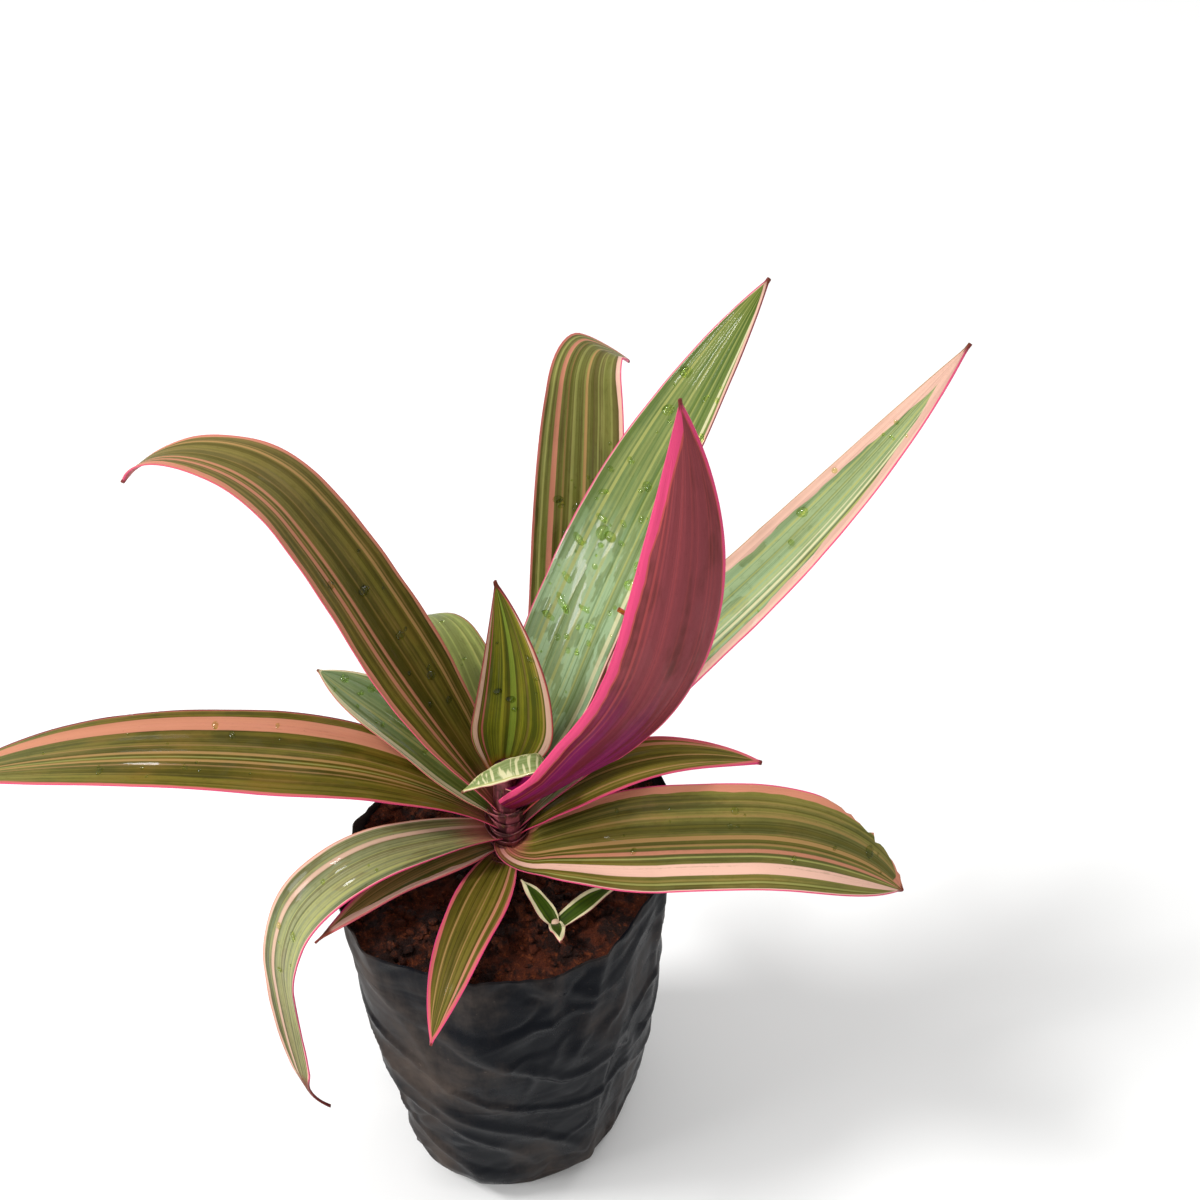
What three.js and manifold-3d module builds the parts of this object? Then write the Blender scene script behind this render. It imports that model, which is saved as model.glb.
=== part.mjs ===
// A potted tradescantia: a rosette of long striped leaves on a short stem, in soil, in a black film grow bag.
// Millimetres, +Z up. The origin is the middle of the bag's flat base, and +Y points to the plant's back.
import * as THREE from "three";
import { mergeVertices } from "three/addons/utils/BufferGeometryUtils.js";
import Module from "manifold-3d";

const wasm = await Module();
wasm.setup();

// ---- Driving dimensions ----------------------------------------------------------------------------------
const GAP = 0.3; // clearance between pieces that touch
const WELD = 1e-4; // corners this close are one corner
const WHOLE_TURN = 2 * Math.PI;

// The bag is an oval tube of film, wider at the rim than at the foot, with a crease down each narrow side.
const BAG = {
  rimHeight: 204, // mean height of the rim
  rimRadius: 68.5, // mean of the half length and half width at the rim
  footRadius: 53, // the same at the foot, outside the rounded edge
  edgeRadius: 12, // rounding between the wall and the flat base
  oval: 0.075, // the half length is this much over the mean, the half width this much under
  crease: 0.035, // how far the side creases stand out, as a part of the radius
  creaseSharpness: 22,
  turn: 36, // degrees from +X to the long side
  wall: 1.2,
  bulge: 2, // the wall swells by this at half height
  rimWave: [3.5, 1.6], // heights of the rim's long wave and of its short one
  rimWaves: [2, 5], // how many of each there are round the rim
  rimPhase: 1, // radians that the short one is turned from the long one
  rimFade: 4, // the power with which the waves die away down the wall
  folds: 0.012, // depth of the upright folds, as a part of the radius
  foldCount: 7,
  sides: 36,
  wallSteps: 6,
  edgeSteps: 3,
};
const SOIL = {
  level: 197, // height at the bag's wall
  mound: 3, // how much higher it lies at the stem
  clod: 1.3, // height of the lumps
  clodPitch: 15, // distance from lump to lump
  clodSkew: 0.9, // pitch of the lumps one way over that the other way
  clodPhase: 0.8, // radians
  rings: 5,
};
const STEM = {
  foot: 176, // where it ends, down in the soil
  top: 251,
  footRadius: 9.5,
  topRadius: 5,
  tip: 4, // height of the blunt cone on its top
  steps: 6,
  sides: 16,
};
const LEAF = {
  midThickness: 1.4,
  edgeThickness: 0.8,
  tipWidth: 1.2,
  tuck: 3, // how far the root starts inside the stem's surface, before it is cut to it
  clasp: 50, // degrees: half the arc that the root makes round the stem
  channel: 20, // degrees: half the arc of the blade's cross-section further out
  claspLength: 0.2, // part of the length over which the clasp opens into the channel
  widest: 0.4, // where along the leaf it reaches its full width
  rootShare: 0.5, // width of the root over the full width, up to the limit
  rootLimit: 13,
  ripple: 0.5, // height of the margins' waves
  ripples: 2,
  rowLength: 17, // distance from row to row of corners along the leaf
  columnWidth: 14, // the same for a pair of columns across it
  fewestRows: 6,
  stepsPerRow: 8, // steps in which the midrib is followed from row to row
};
const SHOOT = {
  x: 20,
  y: -38,
  radius: 2.2,
  foot: 188,
  top: 203,
  tip: 2, // height of its pointed top
  sides: 8,
  leafRows: 5,
};

// Each leaf: the height of its root, its length and width, how fast it tapers to the tip, and how it runs:
// the side it points to in degrees from +X, its climb above the level and its roll about its own midrib.
// A run is one angle, or angles at parts of the length, as [part, angle].
const LEAVES = {
  leaf_back_tall: {
    height: 234.5, length: 228, width: 46, taper: 3.6, rootWidth: 13, widest: 0.26,
    side: [[0, 46], [0.2, 43], [1, 46]], climb: [[0, 61], [0.3, 60], [1, 36]],
  },
  leaf_front_purple: {
    height: 231, length: 231, width: 39, taper: 4.2, rootWidth: 12, widest: 0.8,
    side: [[0, -66], [0.2, -20]], climb: [[0, 50], [0.35, 57], [0.6, 80], [1, 100]],
    roll: [[0, -20], [0.3, -60], [1, -68]],
  },
  leaf_young_centre: {
    height: 247.5, length: 97, width: 37, taper: 2, widest: 0.3, channel: 36, side: [[0, 84], [0.12, 0]],
    climb: [[0, 76], [0.3, 85], [1, 101]], roll: [[0, 6], [0.12, 90]],
  },
  leaf_heart_curled: {
    height: 243, length: 64, width: 12, taper: 5, rootWidth: 7,
    side: [[0, -46], [0.3, -16], [0.44, 4], [1, 18]],
    climb: [[0, 30], [0.28, 50], [0.42, 92], [0.52, 190], [0.75, 203], [1, 212]],
  },
  leaf_left_arching: {
    height: 228, length: 238, width: 44, taper: 3.4, side: 158,
    climb: [[0, 60], [0.45, 62], [0.62, 52], [0.74, 8], [1, -52]],
  },
  leaf_right_low: {
    height: 210.5, length: 176, width: 42, taper: 8, rootWidth: 14, side: [[0, -80], [0.12, -6]],
    climb: [[0, 30], [0.2, 18], [0.6, 7], [0.85, -28], [1, -54]], roll: [[0, 0], [0.15, 4], [0.4, 34]],
  },
  leaf_back_folded: {
    height: 207, length: 248, width: 40, taper: 6, side: [[0, 57], [0.3, 77], [0.8, 77], [0.9, 60]],
    climb: [[0, 36], [0.2, 40], [0.4, 74], [0.79, 82], [0.88, -30], [1, -40]],
    roll: [[0, 0], [0.7, 0], [0.86, 14]],
  },
  leaf_right_pale: {
    height: 217.8, length: 258, width: 29, taper: 4, side: 13, climb: [[0, 55], [0.5, 46], [1, 58]],
    roll: [[0, 0], [0.3, 36]],
  },
  leaf_left_long: {
    height: 218, length: 250, width: 37, taper: 4, side: 176, climb: [[0, 46], [0.3, 6], [1, -23]],
    roll: [[0, 0], [0.4, -24]],
  },
  leaf_left_drooping: {
    height: 213.4, length: 240, width: 28, taper: 2.6, side: 205, roll: [[0, 0], [0.4, -15], [1, -40]],
    climb: [[0, 24], [0.18, 8], [0.34, -38], [0.42, -66], [0.56, -86], [0.88, -90], [1, -122]],
  },
  leaf_left_short: {
    height: 208, length: 86, width: 18, taper: 2.4, side: 214, climb: [[0, 24], [0.4, 2], [1, -26]],
  },
  leaf_young_right: {
    height: 222, length: 128, width: 16, taper: 2.6, rootWidth: 6, side: 0,
    climb: [[0, 56], [0.5, 60], [0.8, 76], [1, 146]], roll: [[0, 0], [0.5, 0], [0.8, 60]],
  },
  leaf_back_left_low: {
    height: 214.5, length: 134, width: 34, taper: 5, side: 112, climb: [[0, 44], [0.3, 30], [1, -40]],
  },
  leaf_left_small: {
    height: 223, length: 96, width: 28, taper: 6, side: 158, climb: [[0, 58], [0.25, 38], [1, 20]],
  },
  leaf_front_left: {
    height: 203.5, length: 90, width: 24, taper: 3.4, side: 254, climb: [[0, 14], [0.5, 4], [1, -44]],
  },
  leaf_right_short: {
    height: 213.6, length: 114, width: 28, taper: 3.4, rootWidth: 10, side: -2,
    climb: [[0, 56], [0.4, 36], [1, -16]],
  },
};
const SHOOT_LEAVES = {
  out: { height: 199, length: 34, width: 9, taper: 3, side: 36, climb: [[0, 26], [1, -14]] },
  left: { height: 200, length: 24, width: 8, taper: 3, side: 130, climb: [[0, 36], [1, 0]] },
  front: { height: 201, length: 20, width: 7, taper: 3, side: 280, climb: [[0, 50], [1, 20]] },
};

const FINISHES = {
  film: { color: 0x17191c, roughness: 0.35 },
  soil: { color: 0x6b3a22, roughness: 0.95 },
  stem: { color: 0x7c4a5a, roughness: 0.6 },
  striped: { color: 0x66763c, roughness: 0.45 },
  purple: { color: 0x7a3350, roughness: 0.45 },
  pale: { color: 0x9aa070, roughness: 0.45 },
  shoot: { color: 0x7f9a55, roughness: 0.5 },
};

// ---- Small helpers ---------------------------------------------------------------------------------------
const radians = THREE.MathUtils.degToRad;
const { lerp, smoothstep } = THREE.MathUtils;

/** A closed three.js geometry as a solid, with its corners welded and its empty triangles left out. */
function solidOf(geometry) {
  const bare = new THREE.BufferGeometry();
  bare.setAttribute("position", geometry.getAttribute("position"));
  bare.setIndex(geometry.index);
  const welded = mergeVertices(bare, WELD);
  const index = welded.index.array;
  const triangles = [];
  for (let i = 0; i < index.length; i += 3) {
    const [a, b, c] = index.slice(i, i + 3);
    if (a !== b && b !== c && c !== a) triangles.push(a, b, c);
  }
  return new wasm.Manifold(
    new wasm.Mesh({
      numProp: 3,
      vertProperties: welded.getAttribute("position").array,
      triVerts: Uint32Array.from(triangles),
    }),
  );
}

/** A solid as a named mesh with its own material. */
function meshOf(name, solid, finish) {
  const { numProp, vertProperties, triVerts } = solid.getMesh();
  const corners = new THREE.BufferAttribute(new Float32Array(vertProperties), numProp);
  const geometry = new THREE.BufferGeometry();
  geometry.setAttribute("position", corners);
  geometry.setIndex(new THREE.BufferAttribute(new Uint32Array(triVerts), 1));
  geometry.computeVertexNormals();
  const mesh = new THREE.Mesh(geometry, new THREE.MeshStandardMaterial({ ...finish, metalness: 0 }));
  mesh.name = name;
  return mesh;
}

/** A turned shape about the upright axis: the profile gives [radius, height] from axis to axis. */
function turned(profile, sides) {
  const points = profile.map(([radius, height]) => new THREE.Vector2(radius, height));
  return new THREE.LatheGeometry(points, sides).rotateX(Math.PI / 2);
}

/** Moves each corner of a geometry to where the function says. */
function reshape(geometry, move) {
  const places = geometry.getAttribute("position");
  const place = new THREE.Vector3();
  for (let i = 0; i < places.count; i += 1) {
    move(place.fromBufferAttribute(places, i));
    places.setXYZ(i, place.x, place.y, place.z);
  }
  return geometry;
}

/** The largest piece of a solid that a cut may have left with scraps. */
function largest(solid) {
  return solid.decompose().sort((a, b) => b.volume() - a.volume())[0];
}

// ---- Bag and soil ----------------------------------------------------------------------------------------
/** The bag's outside radius on average at a height. */
function bagRadius(height) {
  const part = height / BAG.rimHeight;
  const swell = BAG.bulge * Math.sin(Math.PI * Math.min(part, 1));
  return lerp(BAG.footRadius, BAG.rimRadius, part) + swell;
}

/** How the bag's section departs from a circle, as a factor on the radius, at an angle round the bag. */
function bagOutline(angle, height) {
  const fromLong = angle - radians(BAG.turn);
  const along = Math.cos(fromLong) / (1 + BAG.oval);
  const across = Math.sin(fromLong) / (1 - BAG.oval);
  const crease = BAG.crease * Math.abs(Math.cos(fromLong)) ** BAG.creaseSharpness;
  const fold = BAG.folds * Math.sin(BAG.foldCount * fromLong) * (height / BAG.rimHeight);
  return (1 + crease + fold) / Math.hypot(along, across);
}

/** How far the rim rises or dips at an angle round the bag. */
function rimWave(angle) {
  const fromLong = angle - radians(BAG.turn);
  const [high, low] = BAG.rimWave;
  const [few, many] = BAG.rimWaves;
  return high * Math.cos(few * fromLong) + low * Math.sin(many * fromLong + BAG.rimPhase);
}

/** Gives a turned shape the bag's oval, its creases and its folds. */
function toBagOutline(place) {
  const factor = bagOutline(Math.atan2(place.y, place.x), place.z);
  place.set(place.x * factor, place.y * factor, place.z);
}

/** The wall's profile from the axis under the base up to a height, a given distance inside the outside. */
function bagProfile(inset, top) {
  const profile = [[0, inset], [(BAG.footRadius - BAG.edgeRadius) / 2, inset]];
  for (let i = 0; i <= BAG.edgeSteps; i += 1) {
    const turn = (i / BAG.edgeSteps) * (Math.PI / 2);
    const radius = BAG.footRadius - BAG.edgeRadius + (BAG.edgeRadius - inset) * Math.sin(turn);
    profile.push([radius, BAG.edgeRadius - (BAG.edgeRadius - inset) * Math.cos(turn)]);
  }
  for (let i = 1; i <= BAG.wallSteps; i += 1) {
    const height = lerp(BAG.edgeRadius, top, i / BAG.wallSteps);
    profile.push([bagRadius(height) - inset, height]);
  }
  return profile;
}

function growBag() {
  const outside = bagProfile(0, BAG.rimHeight);
  const inside = bagProfile(BAG.wall, BAG.rimHeight);
  const shell = turned([...outside, ...inside.reverse()], BAG.sides);
  const lift = (place) => {
    const share = (place.z / BAG.rimHeight) ** BAG.rimFade;
    const wave = rimWave(Math.atan2(place.y, place.x)) * share;
    toBagOutline(place);
    place.z += wave;
  };
  return solidOf(reshape(shell, lift));
}

/** Lumps on the soil, as a height at a place: one set of waves along the axes and one across them. */
function clods(x, y) {
  const turn = WHOLE_TURN / SOIL.clodPitch;
  const straight = Math.sin(turn * x + SOIL.clodPhase) * Math.cos(turn * SOIL.clodSkew * y);
  const slanting = Math.sin((turn / 2) * (x + y)) * Math.sin((turn / 2) * (y - x) + SOIL.clodPhase);
  return (SOIL.clod * (straight + slanting)) / 2;
}

function soil() {
  const inset = BAG.wall + 2 * GAP;
  const side = bagProfile(inset, SOIL.level);
  const rim = side[side.length - 1][0];
  const top = [];
  for (let i = 1; i <= SOIL.rings; i += 1) {
    top.push([rim * (1 - i / SOIL.rings), SOIL.level]);
  }
  const heap = reshape(turned([...side, ...top], BAG.sides), (place) => {
    const reach = Math.hypot(place.x, place.y) / rim;
    const onTop = place.z >= SOIL.level - WELD && reach < 1 - WELD;
    toBagOutline(place);
    if (onTop) place.z += SOIL.mound * (1 - reach) + clods(place.x, place.y);
  });
  const stemHole = solidOf(turned(stemProfile(GAP), STEM.sides));
  const shootHole = solidOf(shootStem(GAP));
  return solidOf(heap).subtract(stemHole).subtract(shootHole);
}

// ---- Stem ------------------------------------------------------------------------------------------------
function stemRadius(height) {
  return lerp(STEM.footRadius, STEM.topRadius, smoothstep(height, STEM.foot, STEM.top));
}

/** The stem's profile, a given distance outside its surface. */
function stemProfile(outset) {
  const profile = [[0, STEM.foot - outset]];
  for (let i = 0; i <= STEM.steps; i += 1) {
    const height = lerp(STEM.foot, STEM.top, i / STEM.steps);
    profile.push([stemRadius(height) + outset, i === 0 ? height - outset : height]);
  }
  const shoulder = [STEM.topRadius / 2 + outset, STEM.top + STEM.tip / 2 + outset];
  profile.push(shoulder, [0, STEM.top + STEM.tip + outset]);
  return profile;
}

// ---- Leaves ----------------------------------------------------------------------------------------------
/** Half the leaf's width at a part of its length. */
function halfWidth(leaf, part) {
  const root = leaf.rootWidth / leaf.width;
  const swell = Math.sin((Math.PI / 2) * Math.min(1, part / leaf.widest));
  const body = lerp(root, 1, swell) * (1 - part ** leaf.taper);
  return Math.max(LEAF.tipWidth, leaf.width * body) / 2;
}

/** A run's angle at a part of the length, in radians. */
function angleAt(run, part) {
  if (!Array.isArray(run)) return radians(run);
  const next = run.findIndex(([where]) => where > part);
  if (next < 0) return radians(run[run.length - 1][1]);
  const [[from, first], [to, last]] = [run[Math.max(next - 1, 0)], run[next]];
  return radians(lerp(first, last, (part - from) / (to - from)));
}

/** Where the midrib is at each row, with the directions along it, across it and out of the upper face. */
function midrib(leaf, foot) {
  const steps = leaf.rows * LEAF.stepsPerRow;
  const place = foot.clone();
  const stations = [];
  for (let i = 0; i <= steps; i += 1) {
    const part = i / steps;
    const [side, climb, roll] = [leaf.side, leaf.climb, leaf.roll].map((run) => angleAt(run, part));
    const along = new THREE.Vector3(Math.cos(side), Math.sin(side), 0).multiplyScalar(Math.cos(climb));
    along.z = Math.sin(climb);
    const across = new THREE.Vector3(-Math.sin(side), Math.cos(side), 0).applyAxisAngle(along, roll);
    const up = new THREE.Vector3().crossVectors(along, across);
    if (i % LEAF.stepsPerRow === 0) stations.push({ part, place: place.clone(), across, up });
    place.addScaledVector(along, leaf.length / steps);
  }
  return stations;
}

/** A point on the upper (face 1) or lower (face -1) side of a leaf, at s from -1 to 1 across it. */
function leafPoint(leaf, station, s, face) {
  const { part, place, across, up } = station;
  const half = halfWidth(leaf, part);
  const opened = smoothstep(part, 0, LEAF.claspLength);
  const arc = radians(lerp(leaf.clasp, leaf.channel, opened));
  const thickness = lerp(LEAF.midThickness, LEAF.edgeThickness, s * s);
  const ripple = leaf.ripple * s * s * Math.sin(WHOLE_TURN * leaf.ripples * part + Math.sign(s));
  const sideways = (half * Math.sin(arc * s)) / arc;
  const lift = (half * (1 - Math.cos(arc * s))) / arc + ripple + (face * thickness) / 2;
  return place.clone().addScaledVector(across, sideways).addScaledVector(up, lift);
}

/** A leaf as one closed skin: upper face, lower face, margins, root and tip. */
function leafSkin(leaf, foot) {
  const stations = midrib(leaf, foot);
  const { columns, rows } = leaf;
  const corners = [];
  for (const station of stations) {
    for (let j = 0; j <= columns; j += 1) {
      const s = (2 * j) / columns - 1;
      corners.push(leafPoint(leaf, station, s, 1), leafPoint(leaf, station, s, -1));
    }
  }
  const upper = (i, j) => 2 * (i * (columns + 1) + j);
  const lower = (i, j) => upper(i, j) + 1;
  const index = [];
  const quad = (a, b, c, d) => index.push(a, b, c, a, c, d);
  for (let i = 0; i < rows; i += 1) {
    for (let j = 0; j < columns; j += 1) {
      quad(upper(i, j), upper(i + 1, j), upper(i + 1, j + 1), upper(i, j + 1));
      index.push(lower(i, j), lower(i + 1, j + 1), lower(i + 1, j));
      index.push(lower(i, j), lower(i, j + 1), lower(i + 1, j + 1));
    }
    quad(upper(i, columns), upper(i + 1, columns), lower(i + 1, columns), lower(i, columns));
    quad(upper(i, 0), lower(i, 0), lower(i + 1, 0), upper(i + 1, 0));
  }
  for (let j = 0; j < columns; j += 1) {
    quad(upper(0, j), upper(0, j + 1), lower(0, j + 1), lower(0, j));
    quad(upper(rows, j), lower(rows, j), lower(rows, j + 1), upper(rows, j + 1));
  }
  return new THREE.BufferGeometry().setFromPoints(corners).setIndex(index);
}

/** A leaf's own sizes with the usual ones filled in. */
function complete(leaf) {
  const usual = {
    roll: 0,
    widest: LEAF.widest,
    clasp: LEAF.clasp,
    channel: LEAF.channel,
    rootWidth: Math.min(leaf.width * LEAF.rootShare, LEAF.rootLimit),
    ripple: LEAF.ripple,
    ripples: LEAF.ripples,
    rows: Math.max(LEAF.fewestRows, Math.round(leaf.length / LEAF.rowLength)),
    columns: 2 * Math.max(2, Math.round(leaf.width / LEAF.columnWidth)),
  };
  return { ...usual, ...leaf };
}

/** A leaf of the rosette, its root cut to the stem. */
function rosetteLeaf(row, stemCut) {
  const leaf = complete(row);
  const reach = stemRadius(leaf.height) + GAP - LEAF.tuck;
  const start = angleAt(leaf.side, 0);
  const foot = new THREE.Vector3(reach * Math.cos(start), reach * Math.sin(start), leaf.height);
  return largest(solidOf(leafSkin(leaf, foot)).subtract(stemCut));
}

// ---- Offset shoot ----------------------------------------------------------------------------------------
function shootStem(outset) {
  const radius = SHOOT.radius + outset;
  const foot = SHOOT.foot - outset;
  const profile = [[0, foot], [radius, foot], [radius, SHOOT.top - SHOOT.tip], [0, SHOOT.top + outset]];
  return turned(profile, SHOOT.sides).translate(SHOOT.x, SHOOT.y, 0);
}

/** A small shoot beside the stem: a short stalk with its leaves grown out of it as one piece. */
function offsetShoot() {
  let shoot = solidOf(shootStem(0));
  for (const row of Object.values(SHOOT_LEAVES)) {
    const leaf = { ...complete(row), rows: SHOOT.leafRows, ripple: 0 };
    const foot = new THREE.Vector3(SHOOT.x, SHOOT.y, leaf.height);
    shoot = shoot.add(solidOf(leafSkin(leaf, foot)));
  }
  return shoot;
}

// ---- The plant in its bag --------------------------------------------------------------------------------
function leafFinish(name) {
  if (name.endsWith("purple")) return FINISHES.purple;
  return name.endsWith("pale") ? FINISHES.pale : FINISHES.striped;
}

function pottedTradescantia() {
  const plant = new THREE.Group();
  const stemCut = solidOf(turned(stemProfile(GAP), STEM.sides));
  plant.add(meshOf("grow_bag", growBag(), FINISHES.film));
  plant.add(meshOf("soil", soil(), FINISHES.soil));
  plant.add(meshOf("stem", solidOf(turned(stemProfile(0), STEM.sides)), FINISHES.stem));
  for (const [name, leaf] of Object.entries(LEAVES)) {
    plant.add(meshOf(name, rosetteLeaf(leaf, stemCut), leafFinish(name)));
  }
  plant.add(meshOf("offset_shoot", offsetShoot(), FINISHES.shoot));
  return plant;
}

export default pottedTradescantia();
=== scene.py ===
"""A potted tradescantia: a rosette of striped leaves in reddish soil, in a black film grow bag.

The file is laid out as an add-on with one operator for each piece or group of like pieces. The leaves are
shaped from the same table and rules as the solids of the frame, with finer meshes and the leaf's own colours.
"""

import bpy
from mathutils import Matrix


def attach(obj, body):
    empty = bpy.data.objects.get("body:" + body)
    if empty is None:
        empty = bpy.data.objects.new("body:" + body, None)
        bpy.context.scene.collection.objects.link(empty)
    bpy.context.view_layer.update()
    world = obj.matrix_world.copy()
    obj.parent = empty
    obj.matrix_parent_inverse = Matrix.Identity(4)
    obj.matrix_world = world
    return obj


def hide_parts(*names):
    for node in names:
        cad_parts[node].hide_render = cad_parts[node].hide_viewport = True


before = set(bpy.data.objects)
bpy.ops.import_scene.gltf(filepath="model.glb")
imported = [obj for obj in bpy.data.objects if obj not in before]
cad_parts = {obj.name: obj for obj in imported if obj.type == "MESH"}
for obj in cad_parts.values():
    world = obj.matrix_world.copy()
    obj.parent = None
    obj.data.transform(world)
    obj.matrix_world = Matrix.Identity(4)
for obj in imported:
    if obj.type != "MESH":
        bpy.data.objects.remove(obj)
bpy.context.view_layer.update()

import math
import random

import bmesh
import bpy
from bpy.props import FloatProperty, FloatVectorProperty, IntProperty, PointerProperty
from mathutils import Matrix, Vector, noise

bl_info = {
    "name": "Potted Tradescantia",
    "version": (1, 0, 0),
    "blender": (4, 5, 0),
    "location": "View3D > Sidebar > Tradescantia",
    "description": "Builds a striped tradescantia in a film grow bag, piece by piece",
    "category": "Object",
}

MM = 0.001
WHOLE_TURN = 2 * math.pi

# ---- The leaves ----
# Each leaf in millimetres and degrees: the height of its root on the stem, its length and width, how fast it
# tapers, and the side it points to, its climb and its roll about its midrib, each as one angle or as a run of
# angles at parts of the length. These are the frame's own numbers.
LEAVES = {
    "leaf_back_tall": dict(
        height=234.5, length=228, width=46, taper=3.6, root_width=13, widest=0.26,
        side={0: 46, 0.2: 43, 1: 46}, climb={0: 61, 0.3: 60, 1: 36},
    ),
    "leaf_front_purple": dict(
        height=231, length=231, width=39, taper=4.2, root_width=12, widest=0.8, side={0: -66, 0.2: -20},
        climb={0: 50, 0.35: 57, 0.6: 80, 1: 100}, roll={0: -20, 0.3: -60, 1: -68},
    ),
    "leaf_young_centre": dict(
        height=247.5, length=97, width=37, taper=2, widest=0.3, channel=36, side={0: 84, 0.12: 0},
        climb={0: 76, 0.3: 85, 1: 101}, roll={0: 6, 0.12: 90},
    ),
    "leaf_heart_curled": dict(
        height=243, length=64, width=12, taper=5, root_width=7, side={0: -46, 0.3: -16, 0.44: 4, 1: 18},
        climb={0: 30, 0.28: 50, 0.42: 92, 0.52: 190, 0.75: 203, 1: 212}, crinkle=(3, 4.5),
    ),
    "leaf_left_arching": dict(
        height=228, length=238, width=44, taper=3.4, side=158,
        climb={0: 60, 0.45: 62, 0.62: 52, 0.74: 8, 1: -52},
    ),
    "leaf_right_low": dict(
        height=210.5, length=176, width=42, taper=8, root_width=14, side={0: -80, 0.12: -6},
        climb={0: 30, 0.2: 18, 0.6: 7, 0.85: -28, 1: -54}, roll={0: 0, 0.15: 4, 0.4: 34}, crinkle=(1.3, 15),
        torn=0.4,
    ),
    "leaf_back_folded": dict(
        height=207, length=248, width=40, taper=6, side={0: 57, 0.3: 77, 0.8: 77, 0.9: 60},
        climb={0: 36, 0.2: 40, 0.4: 74, 0.79: 82, 0.88: -30, 1: -40}, roll={0: 0, 0.7: 0, 0.86: 14},
    ),
    "leaf_right_pale": dict(
        height=217.8, length=258, width=29, taper=4, side=13, climb={0: 55, 0.5: 46, 1: 58},
        roll={0: 0, 0.3: 36}, crinkle=(1.2, 14),
    ),
    "leaf_left_long": dict(
        height=218, length=250, width=37, taper=4, side=176, climb={0: 46, 0.3: 6, 1: -23},
        roll={0: 0, 0.4: -24},
    ),
    "leaf_left_drooping": dict(
        height=213.4, length=240, width=28, taper=2.6, side=205, roll={0: 0, 0.4: -15, 1: -40},
        climb={0: 24, 0.18: 8, 0.34: -38, 0.42: -66, 0.56: -86, 0.88: -90, 1: -122}, wither=0.13,
    ),
    "leaf_left_short": dict(
        height=208, length=86, width=18, taper=2.4, side=214, climb={0: 24, 0.4: 2, 1: -26},
    ),
    "leaf_young_right": dict(
        height=222, length=128, width=16, taper=2.6, root_width=6, side=0,
        climb={0: 56, 0.5: 60, 0.8: 76, 1: 146}, roll={0: 0, 0.5: 0, 0.8: 60},
    ),
    "leaf_back_left_low": dict(
        height=214.5, length=134, width=34, taper=5, side=112, climb={0: 44, 0.3: 30, 1: -40},
    ),
    "leaf_left_small": dict(
        height=223, length=96, width=28, taper=6, side=158, climb={0: 58, 0.25: 38, 1: 20},
    ),
    "leaf_front_left": dict(
        height=203.5, length=90, width=24, taper=3.4, side=254, climb={0: 14, 0.5: 4, 1: -44},
    ),
    "leaf_right_short": dict(
        height=213.6, length=114, width=28, taper=3.4, root_width=10, side=-2, climb={0: 56, 0.4: 36, 1: -16},
    ),
}
SHOOT_LEAVES = (
    dict(height=199, length=34, width=9, taper=3, side=36, climb={0: 26, 1: -14}),
    dict(height=200, length=24, width=8, taper=3, side=130, climb={0: 36, 1: 0}),
    dict(height=201, length=20, width=7, taper=3, side=280, climb={0: 50, 1: 20}),
)

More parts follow.
